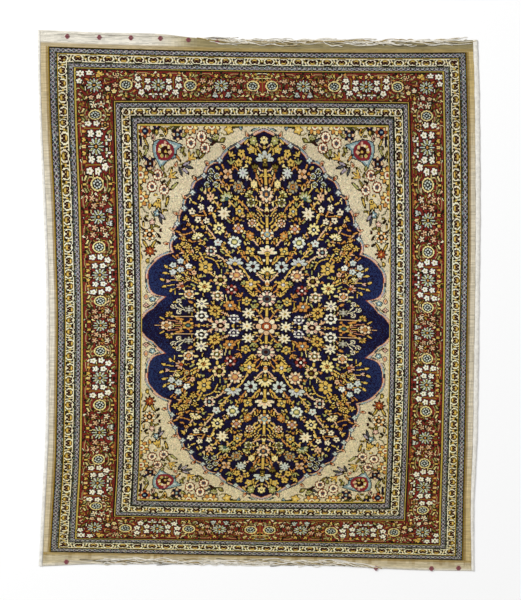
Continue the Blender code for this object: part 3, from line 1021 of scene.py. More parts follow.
def vine(along, across, half):
    """A white vine on cream that swings about dark blossoms, which lean in and out in turn."""
    cell = VINE_PERIOD / 2
    number = np.floor(along / cell)
    x = along - (number + 0.5) * cell
    y = across * np.where(number % 2 == 0, 1, -1) * 4.5 / half
    ink = np.full(along.shape, INKS["ivory"])
    loop = np.hypot(x / 5.4, (y + 0.4) / 4.7)
    ink[(np.abs(loop - 1.08) < 0.14) & (y > -3.8)] = INKS["bark"]
    ink[np.abs(loop - 0.88) < 0.13] = INKS["ivory"]
    ink[(loop < 0.75)] = INKS["bark"]
    ink[(loop < 0.62) & (y < 0)] = INKS["brass"]
    ink[(np.abs(x) < 1.7) & (y > -2.7) & (y < -0.6)] = INKS["yellow"]
    ink[(np.abs(x) < 3.3) & (y > -0.9) & (y < 3.3)] = INKS["maroon"]
    ink[(np.abs(x) < 0.55) & (y > 1.9) & (y < 3.4)] = INKS["cream"]
    ink[(np.abs(np.abs(x) - 1.7) < 0.45) & (y > -0.2) & (y < 0.8)] = INKS["tan"]
    side = cell / 2 - np.abs(x)
    ink[(side < 1.9) & (y > 0.6) & (y < 3.8) & (side < (y - 0.2) * 0.7)] = INKS["bark"]
    ink[(side < 1.7) & (y < -0.6) & (y > -3.4) & (side > 0.5)] = INKS["olive"]
    ink[(side < 1.0) & (np.abs(y) < 0.8)] = INKS["yellow"]
    return ink


PATTERNS = {"lattice": lattice, "lattice_back": lattice_back, "vine": vine}

# The two kinds of cell of the main border. Rows as for the field, but with places along the border
# and deep into it from the cell's middle, and each motif comes on both sides of that middle.
WIDE_CELL = (
    ("flower5", "white lime", (10.5, -4.5, 3.4), (10.5, 3.2, 3.4), (20.2, -7, 3.4), (20.4, 1, 3.4),
     (17, 8.2, 3.4)),
    ("lily3", "white ice lime", (5.2, 11.2, 3.6)),
    ("sprig2", "yellow", (5.5, -11, 3, 180)),
    ("leaf", "lime", (12, 12.5, 2.4, 40)),
    ("bud", "orange yellow", (12.5, -11.5, 2.2)),
    ("daisy12", "ice lime orange", (0, 0, 7.4)),
    ("bud", "lemon orange", (0, -12, 2.2, 180)),
)
STARRY_CELL = (
    ("star5", "peach rust", (10.8, -3.8, 3), (12.5, 4.2, 3), (18.5, -5.5, 3)),
    ("star5", "cream orange", (18.5, 7, 2.8)),
    ("tulip", "ice olive", (6.5, 10.6, 3)),
    ("sprig2", "yellow", (5, -11.2, 3.2, 180)),
    ("leaf", "olive", (12.5, -11, 2.6, 60)),
    ("leaf", "lime", (12.5, 12, 2.6, -50)),
    ("daisy12", "ice lime orange", (0, 0, 7.2)),
    ("bud", "lemon orange", (0, 12.2, 2.2)),
)

# What stands along a side and an end, so far from the rug's middle line: a cell, or None for a ring
ALONG_SIDE = (
    (31.5, None), (94.5, None), (157.5, None), (220.5, None),
    (0, STARRY_CELL), (63, WIDE_CELL), (126, STARRY_CELL), (189, WIDE_CELL),
)
ALONG_END = ((9.5, None), (41, STARRY_CELL), (72, None), (104, WIDE_CELL), (136, None))

# The red ground of the main border, between its inner and outer lines
RED_BAND = (27, 61)


class Side:
    """The main border along a side or an end: places along it from its middle, and deep into it."""

    def __init__(self, chart, is_end):
        self.chart = chart
        self.is_end = is_end
        self.inward = 180 if is_end else -90

    def place(self, along, deep):
        if self.is_end:
            return along, float(np.interp(deep, END_DEPTHS[::-1], END_UPS[::-1]))
        return HALF_WIDTH - deep, along

    def put(self, kind, along, deep, size, turn, inks):
        """A motif, with its turn counted from pointing into the rug."""
        draw(self.chart, kind, self.place(along, MAIN_MIDDLE + deep), size, self.inward + turn, inks)

    def line(self, points, ink):
        stem(self.chart, [self.place(a, MAIN_MIDDLE + d) for a, d in points], ink, 0.5)

    def ringed(self, at):
        """A ring, with leaves that bend around it on both sides."""
        for side in (-1, 1):
            for reach, ink in ((11.0, "moss"), (10.1, "tan")):
                bends = [radians(a) for a in range(-40, 41, 10)]
                self.line([(at + reach * sin(a), side * reach * cos(a)) for a in bends], ink)
            self.put("leaf", at - 5.5, side * 11.5, 2.6, 60 * side, "lime")
            self.put("leaf", at + 5.5, side * 11.5, 2.6, -60 * side, "lemon")
            self.put("bud", at, side * 12.6, 1.9, 0, "yellow")
        self.put("ring8", at, 0, 6.4, 0, "lemon pine ice pine")

    def cell(self, at, table):
        """A white rosette among smaller flowers, between upright stalks."""
        for side in (-1, 1):
            spot = at + side * 15.6
            self.line([(spot, -10.5), (spot - side * 0.8, -2), (spot, 10.5)], "brass")
            for deep, bow, ink in ((-13.5, -14.8, "tan"), (14.6, 15.6, "olive")):
                places = zip((at + side * 9, at + side * 15, at + side * 22), (deep, bow, deep))
                self.line(list(places), ink)
        for side in (-1, 1):
            for kind, inks, along, deep, size, turn in listed(table):
                self.put(kind, at + side * along, deep, size, turn * side, inks)


def draw_borders(chart):
    """The bands, each with its colour or pattern, and the flowers of the main border."""
    left, up = np.meshgrid(chart.left, chart.up)
    from_side = HALF_WIDTH - left
    from_end = np.interp(up, END_UPS, END_DEPTHS, left=BORDER_WIDTH + KNOT)
    on_end = from_end < from_side
    deep = np.minimum(from_end, from_side)
    along = np.where(on_end, left, up)
    outer = -1.0
    for band in BANDS:
        here = (deep > outer) & (deep <= band.inner)
        half = (band.inner - outer) / 2
        middle = (band.inner + outer) / 2
        if band.fill in PATTERNS:
            chart.ink[here] = PATTERNS[band.fill](along[here], deep[here] - middle, half)
        else:
            chart.ink[here] = INKS[band.fill]
        outer = band.inner
    chart.outline = "pine"
    for is_end, row in ((False, ALONG_SIDE), (True, ALONG_END)):
        side = Side(chart, is_end)
        for at, table in row:
            if table:
                side.cell(at, table)
            else:
                side.ringed(at)
    draw_motifs(chart, CORNER_FLOWERS)
    draw_middle_mark(chart)
    fill_gaps(chart, (deep > RED_BAND[0]) & (deep < RED_BAND[1]), ("red", "brick"),
              ("brass", "gold", "peach", "moss", "lemon", "orange", "bark", "tan", "cream"),
              tries=11000, sizes=(0.7, 1.6), seed=21, bare=0.86)
    speckle = np.random.default_rng(22).random(chart.ink.shape)
    chart.ink[(chart.ink == INKS["red"]) & (speckle < 0.08)] = INKS["maroon"]
    chart.ink[(chart.ink == INKS["red"]) & (speckle > 0.90)] = INKS["brick"]


def draw_middle_mark(chart):
    """The upright bar with a cross-piece in the middle of each end's main border."""
    cells, x, y = chart.around(*Side(chart, True).place(0, MAIN_MIDDLE), 16)
    cells[(np.abs(x) < 2.6) & (np.abs(y) < 13)] = INKS["brick"]
    cells[(np.abs(x) < 9) & (np.abs(y - 9.5) < 0.7)] = INKS["lemon"]
    cells[(np.abs(x) < 0.7) & (y < 9.5) & (y > -8)] = INKS["brass"]


# The flowers of the main border's corner
CORNER_FLOWERS = (
    ("flower6", "white olive", (80, 73.5, 4.2)),
    ("flower5", "white lime", (89, 72.5, 3.3), (79, 81, 3.3)),
    ("tulip", "yellow orange", (99, 74.5, 4, -40)),
    ("daisy12", "ice lime orange", (94, 85, 7.4)),
    ("flower5", "cream orange", (107.5, 88.5, 2.6)),
    ("star5", "peach rust", (115, 85, 2.9)),
    ("flower5", "lemon orange", (114, 91, 2.5)),
    ("star5", "peach rust", (91, 97.5, 2.7)),
    ("flower5", "cream orange", (98.5, 96.5, 2.5)),
    ("star5", "cream orange", (93.5, 105, 3.5), (101, 104.5, 3.5)),
    ("leaf", "olive", (82, 88, 3, 40), (83, 97, 3.2, 20), (107, 79, 3.2, 70)),
    ("leaf", "orange", (87, 79.5, 2.6, 50)),
    ("star5", "peach rust", (116, 76, 2.9)),
    ("bud", "orange yellow", (107.5, 97, 2.4)),
    ("rosette6", "orange peach pine yellow", (105, 125, 3.8)),
)


def whole_chart():
    """The quarter's colours, mirrored both ways into the whole rug, bottom row first."""
    chart = Chart()
    draw_field(chart)
    draw_borders(chart)
    half = np.concatenate((chart.ink[:, :0:-1], chart.ink), axis=1)
    return np.concatenate((half[:0:-1], half), axis=0)


# Heights above the floor, as the solids have them
PILE_HEIGHT = 0.0060
PILE_RIPPLE = 0.0003
FLAT_HEIGHT = 0.0022
HEM_HEIGHT = 0.0036
CORD_HEIGHT = 0.0044
BACK_HEIGHT = 0.0002
SHEET_BOTTOM = 0.0005

# How uneven the knots are, how much lower dark wool has worn, where the pile's rim starts, and how
# far up the pile its first rows of knots stand
KNOT_RIPPLE = 0.00010
DARK_WEAR = 0.00028
DARK_WOOLS = ("night", "bark", "pine", "maroon")
RIM_HEIGHT = FLAT_HEIGHT - 0.0006
RIM_SHARES = (0.0, 0.68, 0.93, 1.0)

# The turned-over hem at the top end: its right end, how deep it is, and how softly each ends
HEM_END = -0.200
HEM_DEPTH = 0.014
HEM_FADE_ALONG = 0.060
HEM_FADE_ACROSS = 0.002

# The outer lines of the cloth and its edge cords, in metres: a row for each height up the rug
SideRow = namedtuple("SideRow", "up outer_left joint_left joint_right outer_right")
SIDES = (
    SideRow(-0.730, -0.5940, -0.5850, 0.5735, 0.5805),
    SideRow(-0.539, -0.5845, -0.5755, 0.5715, 0.5810),
    SideRow(-0.377, -0.5765, -0.5675, 0.5770, 0.5890),
    SideRow(-0.201, -0.5745, -0.5655, 0.5795, 0.5925),
    SideRow(0.001, -0.5740, -0.5655, 0.5830, 0.5945),
    SideRow(0.271, -0.5830, -0.5750, 0.5845, 0.5975),
    SideRow(0.487, -0.5925, -0.5860, 0.5830, 0.5960),
    SideRow(0.600, -0.5960, -0.5890, 0.5815, 0.5945),
    SideRow(0.730, -0.5975, -0.5900, 0.5775, 0.5900),
)

# The cloth's ends: a row for each place across the rug
EndRow = namedtuple("EndRow", "across cloth_top cloth_bottom")
ENDS = (
    EndRow(-0.5975, 0.7300, -0.7170),
    EndRow(-0.429, 0.7230, -0.7105),
    EndRow(-0.267, 0.7190, -0.7090),
    EndRow(-0.159, 0.7075, -0.7095),
    EndRow(0.016, 0.7010, -0.7115),
    EndRow(0.192, 0.6990, -0.7140),
    EndRow(0.381, 0.6990, -0.7255),
    EndRow(0.5975, 0.7030, -0.7300),
)


def side_line(column, y):
    """Where one of the side lines lies at a height up the rug, in metres."""
    rows = [(row.up, getattr(row, column)) for row in SIDES]
    return np.interp(y, *smooth(*zip(*rows)))


def end_line(column, x):
    """Where one of the cloth's ends lies at a place across the rug, in metres."""
    rows = [(row.across, getattr(row, column)) for row in ENDS]
    return np.interp(x, *smooth(*zip(*rows)))


def cloth_place(across, up, over_side, over_end):
    """Where a place on the cloth lies, in metres. The last two say how far out from the pile's edge
    it is on a side band or an end, from -1 at the left or bottom edge to 1 at the right or top."""
    x, y = lay(across, up)
    for _ in range(LAY_ROUNDS):
        photo_height = PHOTO_MIDDLE_Y - y / UNIT
        inner_x = (photo_x(across, photo_height) - PHOTO_MIDDLE_X) * UNIT
        outer_x = np.where(over_side < 0, side_line("joint_left", y), side_line("joint_right", y))
        x = inner_x + (outer_x - inner_x) * np.abs(over_side)
        inner_y = (PHOTO_MIDDLE_Y - photo_y(up, PHOTO_MIDDLE_X + x / UNIT)) * UNIT
        outer_y = np.where(over_end < 0, end_line("cloth_bottom", x), end_line("cloth_top", x))
        y = inner_y + (outer_y - inner_y) * np.abs(over_end)
    return x, y


def linear(colour):
    """An sRGB hex colour as linear red, green and blue."""
    parts = np.array([int(colour[i:i + 2], 16) for i in (0, 2, 4)]) / 255
    return np.where(parts < 0.04045, parts / 12.92, ((parts + 0.055) / 1.055) ** 2.4)


PALETTE = np.array([linear(colour) for colour in WOOL.values()])


def grid_faces(rows, columns):
    """The faces of a grid with this many points each way, row after row."""
    start = np.arange(rows - 1)[:, None] * columns + np.arange(columns - 1)
    return np.stack((start, start + 1, start + columns + 1, start + columns), axis=2).reshape(-1, 4)


def knot_corners(rows, columns):
    """Where the corners of so many knots each way lie, in metres."""
    return lay(*np.meshgrid(np.linspace(-HALF_WIDTH, HALF_WIDTH, columns + 1),
                            np.linspace(-HALF_HEIGHT, HALF_HEIGHT, rows + 1)))


def new_piece(name, points, faces, finish, colours=None, uvs=None, is_smooth=True):
    """A mesh piece that rides on the rug. Colours and UVs are given for each face."""
    mesh = bpy.data.meshes.new(name)
    mesh.from_pydata(np.asarray(points).tolist(), [], np.asarray(faces).tolist())
    sides = len(faces[0])
    if colours is not None:
        wool = mesh.color_attributes.new("Wool", "FLOAT_COLOR", "CORNER")
        rgba = np.concatenate((colours, np.ones((len(colours), 1))), axis=1)
        wool.data.foreach_set("color", np.repeat(rgba, sides, axis=0).astype(np.float32).ravel())
    if uvs is not None:
        layer = mesh.uv_layers.new(name="OFBake")
        layer.data.foreach_set("uv", np.asarray(uvs, np.float32).ravel())
    mesh.materials.append(finish)
    if is_smooth:
        mesh.shade_smooth()
    mesh.update()
    made = bpy.data.objects.new(name, mesh)
    bpy.context.scene.collection.objects.link(made)
    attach(made, "root")
    return made


class Nodes:
    """A material's nodes, added and joined in few words."""

    def __init__(self, name):
        self.material = bpy.data.materials.new(name)
        self.material.use_nodes = True
        self.tree = self.material.node_tree
        self.shader = self.tree.nodes["Principled BSDF"]

    def add(self, kind, inputs=(), **settings):
        node = self.tree.nodes.new("ShaderNode" + kind)
        for setting, value in settings.items():
            setattr(node, setting, value)
        for socket, value in dict(inputs).items():
            if isinstance(value, bpy.types.NodeSocket):
                self.tree.links.new(value, node.inputs[socket])
            else:
                node.inputs[socket].default_value = value
        return node

    def math(self, operation, first, second=0.0):
        return self.add("Math", {0: first, 1: second}, operation=operation).outputs[0]

    def finish(self, colour, height, roughness, sheen, depth):
        """Joins up the shader: a linked colour and bump, and constant roughness and sheen."""
        bump = self.add("Bump", {"Height": height, "Distance": depth, "Strength": 1.0})
        self.tree.links.new(bump.outputs[0], self.shader.inputs["Normal"])
        self.tree.links.new(colour, self.shader.inputs["Base Color"])
        self.shader.inputs["Roughness"].default_value = roughness
        self.shader.inputs["Sheen Weight"].default_value = sheen
        self.shader.inputs["Sheen Roughness"].default_value = 0.5
        self.shader.inputs["Specular IOR Level"].default_value = 0.06
        return self.material

    def tinted(self, colour, dark, light, scale, stretch=(1, 1, 1)):
        """The colour made a little darker and lighter by noise."""
        place = self.add("TexCoord").outputs["Object"]
        mapped = self.add("Mapping", {"Vector": place, "Scale": stretch}).outputs[0]
        noise = self.add("TexNoise", {"Vector": mapped, "Scale": scale, "Detail": 3.0}).outputs[0]
        share = self.add("MapRange", {0: noise, 1: 0.3, 2: 0.7, 3: dark, 4: light}).outputs[0]
        grey = self.add("CombineXYZ", {0: share, 1: share, 2: share}).outputs[0]
        mix = self.add("Mix", {"Factor": 1.0}, data_type="RGBA", blend_type="MULTIPLY")
        self.tree.links.new(colour, mix.inputs[6])
        self.tree.links.new(grey, mix.inputs[7])
        return mix.outputs[2], noise


def pile_material(name, columns, rows):
    """Wool: each face's own colour, a round top on every knot and fine fibres."""
    nodes = Nodes(name)
    colour = nodes.add("VertexColor", layer_name="Wool").outputs[0]
    colour, fibre = nodes.tinted(colour, dark=0.93, light=1.07, scale=900)
    split = nodes.add("SeparateXYZ", {0: nodes.add("UVMap", uv_map="OFBake").outputs[0]})
    humps = []
    for axis, count in ((0, columns), (1, rows)):
        turn = nodes.math("MULTIPLY", split.outputs[axis], pi * count)
        humps.append(nodes.math("ABSOLUTE", nodes.math("SINE", turn)))
    knot = nodes.math("POWER", nodes.math("MULTIPLY", *humps), 0.5)
    height = nodes.math("ADD", nodes.math("MULTIPLY", fibre, 0.6), knot)
    return nodes.finish(colour, height, roughness=0.95, sheen=0.015, depth=0.0007)


# From rib to rib of the flat weave
RIB_PITCH = 0.0044


def weave_material(name):
    """Undyed flat weave: fine ribs across the rug, with uneven threads."""
    nodes = Nodes(name)
    colour = nodes.add("VertexColor", layer_name="Wool").outputs[0]
    colour, streak = nodes.tinted(colour, dark=0.70, light=1.14, scale=48, stretch=(0.5, 5, 1))
    place = nodes.add("SeparateXYZ", {0: nodes.add("TexCoord").outputs["Object"]})
    along = nodes.math("MULTIPLY", place.outputs[1], 2 * pi / RIB_PITCH)
    across = nodes.math("MULTIPLY", place.outputs[0], 2 * pi / (RIB_PITCH * 1.3))
    rib = nodes.math("MULTIPLY", nodes.math("SINE", along), nodes.math("SINE", across))
    height = nodes.math("ADD", nodes.math("MULTIPLY", rib, 0.5), nodes.math("MULTIPLY", streak, 1.2))
    return nodes.finish(colour, height, roughness=0.94, sheen=0.05, depth=0.0005)


def thread_material(name, colour=None):
    """Spun cotton, in one colour or in each face's own: streaks, and fine noise in its bump."""
    nodes = Nodes(name)
    if colour:
        base = nodes.add("RGB")
        base.outputs[0].default_value = (*linear(colour), 1)
    else:
        base = nodes.add("VertexColor", layer_name="Wool")
    colour, _ = nodes.tinted(base.outputs[0], dark=0.80, light=1.06, scale=130)
    place = nodes.add("TexCoord").outputs["Object"]
    fine = nodes.add("TexNoise", {"Vector": place, "Scale": 1400.0, "Detail": 2.0}).outputs[0]
    return nodes.finish(colour, fine, roughness=0.9, sheen=0.05, depth=0.0004)


# The strips that the pile is made in
STRIPS = 4


def pile_pieces(chart):
    """The knotted pile, in strips across the rug, with a face for every knot."""
    rows, columns = chart.shape
    pick = np.random.default_rng(3)
    x, y = knot_corners(rows, columns)
    z = pile_heights(chart, x, y, pick)
    points = np.stack((x, y, z), axis=2)
    colours = knot_colours(chart, pick)
    pieces = []
    for number in range(STRIPS):
        first = rows * number // STRIPS
        last = rows * (number + 1) // STRIPS
        count = last - first
        u0, v0 = np.meshgrid(np.arange(columns) / columns, np.arange(count) / count)
        u1, v1 = u0 + 1 / columns, v0 + 1 / count
        uvs = np.stack((u0, v0, u1, v0, u1, v1, u0, v1), axis=2)
        pieces.append(new_piece(
            f"pile_{number + 1}", points[first:last + 1].reshape(-1, 3),
            grid_faces(count + 1, columns + 1), pile_material(f"wool_pile_{number + 1}", columns, count),
            colours[first:last].reshape(-1, 3), uvs, is_smooth=False))
    return pieces


def pile_heights(chart, x, y, pick):
    """The pile's height at every corner of a knot. Dark wool wears lower, and the rim is rounded."""
    low = np.isin(chart, [INKS[name] for name in DARK_WOOLS])
    knot = -DARK_WEAR * low + pick.normal(0, KNOT_RIPPLE, chart.shape)
    padded = np.pad(knot, 1, mode="edge")
    corner = (padded[1:, 1:] + padded[1:, :-1] + padded[:-1, 1:] + padded[:-1, :-1]) / 4
    z = PILE_HEIGHT + PILE_RIPPLE * np.sin(x * 11 + y * 4) * np.cos(y * 9 - x * 3) + corner
    rows, columns = z.shape
    in_row = np.minimum(np.arange(rows), np.arange(rows)[::-1])
    in_column = np.minimum(np.arange(columns), np.arange(columns)[::-1])
    rim = np.minimum(in_row[:, None], in_column[None, :])
    share = np.interp(rim, range(len(RIM_SHARES)), RIM_SHARES)
    return RIM_HEIGHT + (z - RIM_HEIGHT) * share


# Painted shade and tone up the rug, as shares of its red, green and blue: darker towards the top, where
# the leaning pile looks darker, and a warmer, less blue tone towards the bottom
Fade = namedtuple("Fade", "up red green blue")
PILE_SHADE_AND_TONE = (
    Fade(-297, 0.98, 0.95, 0.82), Fade(-150, 0.95, 0.92, 0.80), Fade(-60, 1.02, 1.01, 0.92),
    Fade(80, 1.02, 1.01, 0.99), Fade(160, 0.96, 0.95, 0.92), Fade(225, 0.84, 0.83, 0.80),
    Fade(297, 0.93, 0.93, 0.90),
)


# How unevenly the wool took its dye: from knot to knot, in each of its colours, and every few rows
KNOT_DYE = 0.10
COLOUR_DYE = 0.035
ROW_DYE = 0.05
DYE_ROWS = 12


def knot_colours(chart, pick):
    """The colour of every knot: its wool, the uneven dye of each knot and each few rows, and the painted
    shade and tone up the rug.
    """
    rows, columns = chart.shape
    dye = pick.normal(0, KNOT_DYE, (rows, columns, 1)) + pick.normal(0, COLOUR_DYE, (rows, columns, 3))
    dyed = np.arange(0, rows + DYE_ROWS, DYE_ROWS)
    row_dye = np.interp(np.arange(rows), dyed, pick.normal(0, ROW_DYE, len(dyed)))
    up = (np.arange(rows) - (rows - 1) / 2) * KNOT
    # Painted shade for each row, darker towards the top, with the warmer tone towards the bottom
    shade_ups, *shade_shares = zip(*PILE_SHADE_AND_TONE)
    shade_and_tone = np.stack([np.interp(up, shade_ups, share) for share in shade_shares], axis=1)
    colours = PALETTE[chart] * (1 + dye + row_dye[:, None, None]) * shade_and_tone[:, None, :]
    return np.clip(colours, 0.002, 0.95)


# Cotton colours, as sRGB, with shadow as a painted shade colour
COTTON = {
    "whitened": "f0ebdf", "white": "e2ddd0", "pale": "cbc0a2", "beige": "bfae86", "olive": "8f835c",
    "tan": "a58d55", "straw": "b99c49", "gold": "86692a", "shadow": "6f6650",
}


def ramp(value, width=1):
    """From 0 up to 1 over a width."""
    return np.clip(value / width, 0, 1)


def places_over(half, before, between, after):
    """Places from side to side of the cloth, in so many steps before, over and after the pile. Each
    comes with how far out from the pile's edge it is, from -1 to 1."""
    on_pile = [(place, 0) for place in np.linspace(-half, half, between + 1)][1:-1]
    return ([(-half, share) for share in np.linspace(-1, 0, before + 1)] + on_pile
            + [(half, share) for share in np.linspace(0, 1, after + 1)])


def cloth_sheet():
    """The flat weave: the whole cloth as a thin closed sheet under the pile, which shows as the
    ends and the side bands."""
    across, over_side = zip(*places_over(HALF_WIDTH, before=8, between=130, after=8))
    up, over_end = zip(*places_over(HALF_HEIGHT, before=13, between=56, after=24))
    across, up = np.meshgrid(across, up)
    over_side, over_end = np.meshgrid(over_side, over_end)
    x, y = cloth_place(across, up, over_side, over_end)
    top = np.stack((x, y, flat_heights(x, y, over_end)), axis=2)
    under = np.stack((x, y, np.full(x.shape, SHEET_BOTTOM)), axis=2)
    top_faces = grid_faces(*x.shape)
    number = np.arange(x.size).reshape(x.shape)
    shift = x.size
    rim = np.concatenate((number[0, :-1], number[:-1, -1], number[-1, :0:-1], number[:0:-1, 0]))
    walls = np.stack((rim, rim + shift, np.roll(rim, -1) + shift, np.roll(rim, -1)), axis=1)
    faces = np.concatenate((top_faces, top_faces[:, ::-1] + shift, walls))
    middle = (x[:-1, :-1] + x[1:, 1:]) / 2, (y[:-1, :-1] + y[1:, 1:]) / 2
    side_share = (over_side[:-1, :-1] + over_side[1:, 1:]) / 2
    end_share = (over_end[:-1, :-1] + over_end[1:, 1:]) / 2
    face_colours = flat_colours(*middle, side_share, end_share).reshape(-1, 3)
    pale = np.tile(linear(COTTON["pale"]), (len(walls), 1))
    colours = np.concatenate((face_colours, face_colours, pale))
    return new_piece("woven_cloth", np.concatenate((top.reshape(-1, 3), under.reshape(-1, 3))), faces,
                     weave_material("flat_weave"), colours)


def flat_heights(x, y, over_end):
    """The flat weave's height, with the top end's turned-over hem and the creases of both ends."""
    z = FLAT_HEIGHT + 0.0003 * np.sin(x * 61) * np.sin(y * 47 + x * 13)
    depth = end_line("cloth_top", x) - y
    along = ramp(HEM_END - x, HEM_FADE_ALONG)
    inward = ramp(HEM_DEPTH - depth, HEM_FADE_ACROSS)
    z = z + (HEM_HEIGHT - FLAT_HEIGHT) * along * inward * (over_end > 0)
    return z + folded(x, y)


def folded(x, y, deepest_only=False):
    """How far the creases lift the weave here, or else, from 0 to 1, how deep in one it lies."""
    lift = np.zeros(np.shape(x))
    for line, width, rise in CREASES:
        xs, ys = zip(*line)
        away = y - np.interp(x, xs, ys) - 0.0012 * np.sin(x * 85)
        reach = ramp(x - xs[0], 0.02) * ramp(xs[-1] - x, 0.02)
        here = reach * np.exp(-(away / width) ** 2)
        if not deepest_only:
            lift = lift + rise * here
        elif rise < 0:
            lift = np.maximum(lift, here)
    return lift


# Creases of the two ends: the places each passes, in metres, its half width and its rise
CREASES = (
    (((-0.553, 0.718), (-0.43, 0.7165), (-0.32, 0.7125), (-0.20, 0.7095)), 0.0016, -0.0012),
    (((-0.20, 0.7015), (0.0, 0.6935), (0.16, 0.6900), (0.33, 0.6895), (0.57, 0.6920)), 0.0020, 0.0010),
    (((-0.10, 0.6945), (0.10, 0.6850), (0.30, 0.6830), (0.50, 0.6860)), 0.0016, -0.0007),
    (((-0.50, -0.6960), (-0.25, -0.6985), (0.0, -0.7030), (0.25, -0.7080)), 0.0018, 0.0008),
)


# How far up the rug its side bands have yellowed, and how much: most at the right side's corners
YELLOWED_BANDS = ((-0.60, -0.48, -0.38, 0.33, 0.45, 0.58), (0.62, 0.45, 0, 0, 0.32, 0.66))


def flat_colours(x, y, over_side, over_end):
    """The undyed weave: tan by the pile, beige and olive at the top end, and whiter about the left band's
    middle, which is painted light.
    """
    cotton = {name: linear(colour) for name, colour in COTTON.items()}
    colours = np.broadcast_to(cotton["pale"], (*x.shape, 3))

    def blend(name, share):
        nonlocal colours
        share = np.clip(share, 0, 1)[..., None]
        colours = colours * (1 - share) + cotton[name] * share

    on_top = ramp(over_end * 40)
    on_bottom = ramp(-over_end * 40)
    on_band = ramp(np.abs(over_side) * 40) * (1 - on_top) * (1 - on_bottom)
    blend("olive", on_top * ramp(x + 0.24, 0.08) * 0.95)
    blend("white", on_top * ramp(-0.20 - x, 0.10) * 0.9)
    blend("tan", on_top * ramp(0.30 - over_end, 0.12) * 0.75)
    blend("beige", on_bottom * 0.45)
    blend("tan", on_bottom * ramp(0.26 + over_end, 0.1) * 0.85)
    blend("white", on_bottom * ramp(-over_end - 0.75, 0.15) * 0.6)
    blend("beige", on_band * 0.8)
    blend("tan", on_band * ramp(y - 0.30, 0.2) * 0.5)
    # Painted light: the left band is whiter about its middle, where the light is brightest
    whitened = np.exp(-((y - 0.03) / 0.30) ** 2) * (over_side < 0)
    blend("white", on_band * (0.40 + whitened * 0.45))
    yellowed = np.interp(y, *YELLOWED_BANDS) * np.where(over_side > 0, 1, 0.5)
    blend("straw", on_band * yellowed)
    blend("gold", on_band * ramp(0.30 - np.abs(over_side), 0.1) * 0.7)
    # Painted shade in the top end's creases, deepest where the weave dips
    blend("shadow", on_top * folded(x, y, deepest_only=True) * 0.55)
    pick = np.random.default_rng(8)
    ribs = pick.random(x.shape[1])[None, :] ** 2
    blend("gold", on_bottom * ribs * ramp(0.62 + over_end, 0.2) * 0.6)
    return np.clip(colours * (1 + pick.normal(0, 0.07, (*x.shape, 1))), 0.01, 0.95)


def cloth_back(chart):
    """The rug's back, just clear of the floor: the pattern again, flatter and paler."""
    coarse = chart[1::3, 1::3]
    rows, columns = coarse.shape
    x, y = knot_corners(rows, columns)
    points = np.stack((x, y, np.full(x.shape, BACK_HEIGHT)), axis=2).reshape(-1, 3)
    colours = PALETTE[coarse].reshape(-1, 3) * 0.75 + linear(COTTON["pale"]) * 0.25
    turned_over = grid_faces(rows + 1, columns + 1)[:, [0, 3, 2, 1]]
    return new_piece("knotted_back", points, turned_over, weave_material("back_weave"),
                     colours, is_smooth=False)


# The thread that wraps the edge cords, how finely they are made, and how far up and down they go
CORD_PITCH = 0.0031
CORD_RINGS = 3
CORD_SIDES = 8
CORD_END = 0.7285


def edge_cord(name, joint, outer, finish):
    """An overcast edge: a cord along the side with the turns of the thread that wraps it."""
    count = int(2 * CORD_END / CORD_PITCH * CORD_RINGS)
    y = np.linspace(-CORD_END, CORD_END, count)
    inner, out = side_line(joint, y), side_line(outer, y)
    cloth_low = end_line("cloth_bottom", inner)
    cloth_high = end_line("cloth_top", inner)
    y = cloth_low + (y + CORD_END) / (2 * CORD_END) * (cloth_high - cloth_low)
    middle = (inner + out) / 2
    half = np.abs(out - inner) / 2 * (1 + 0.10 * np.sin(y * 37) * np.sin(y * 91 + 1))
    around = np.arange(CORD_SIDES) * 2 * pi / CORD_SIDES
    turn = y[:, None] / CORD_PITCH * 2 * pi + around[None, :]
    bulge = 1 + 0.09 * np.cos(turn)
    x = middle[:, None] + half[:, None] * np.cos(around) * bulge
    z = CORD_HEIGHT / 2 * (1 + np.sin(around) * bulge * 0.92)
    slant = 0.0010 * np.sin(around)
    points = np.stack((x, y[:, None] + slant, np.maximum(z, BACK_HEIGHT)), axis=2).reshape(-1, 3)
    return new_piece(name, points, tube_faces(count, CORD_SIDES), finish)


def tube_faces(rings, sides):
    """The faces of a tube with an even number of sides, and those that close both its ends."""
    start = np.arange(rings - 1)[:, None] * sides
    side = np.arange(sides)
    following = (side + 1) % sides
    faces = np.stack((start + side, start + following, start + following + sides,
                      start + side + sides), axis=2).reshape(-1, 4)
    first = np.array([(0, k + 1, k + 2, k + 3) for k in range(0, sides - 2, 2)])
    return np.concatenate((faces, first[:, ::-1], first + sides * (rings - 1)))


# The sides of a loose thread's tube
THREAD_SIDES = 6


def thread(path, radius):
    """The corners of a thin thread along a path, narrower towards its end."""
    path = np.asarray(path)
    run = np.gradient(path, axis=0)
    run /= np.linalg.norm(run, axis=1)[:, None] + 1e-9
    aside = np.stack((run[:, 1], -run[:, 0], np.zeros(len(run))), axis=1)
    aside /= np.linalg.norm(aside, axis=1)[:, None] + 1e-9
    over = np.cross(aside, run)
    around = (np.arange(THREAD_SIDES) * 2 * pi / THREAD_SIDES)[None, :, None]
    widths = radius * np.linspace(1, 0.75, len(path))[:, None, None]
    rings = path[:, None] + widths * (np.cos(around) * aside[:, None] + np.sin(around) * over[:, None])
    return rings.reshape(-1, 3)


def threads_piece(name, threads, points_each, finish, cottons=None):
    """One piece of many threads. Cottons gives each thread's colour."""
    faces = tube_faces(points_each, THREAD_SIDES)
    shifts = np.arange(len(threads)) * points_each * THREAD_SIDES
    all_faces = (faces + shifts[:, None, None]).reshape(-1, 4)
    colours = np.repeat(cottons, len(faces), axis=0) if cottons else None
    return new_piece(name, np.concatenate(threads), all_faces, finish, colours)


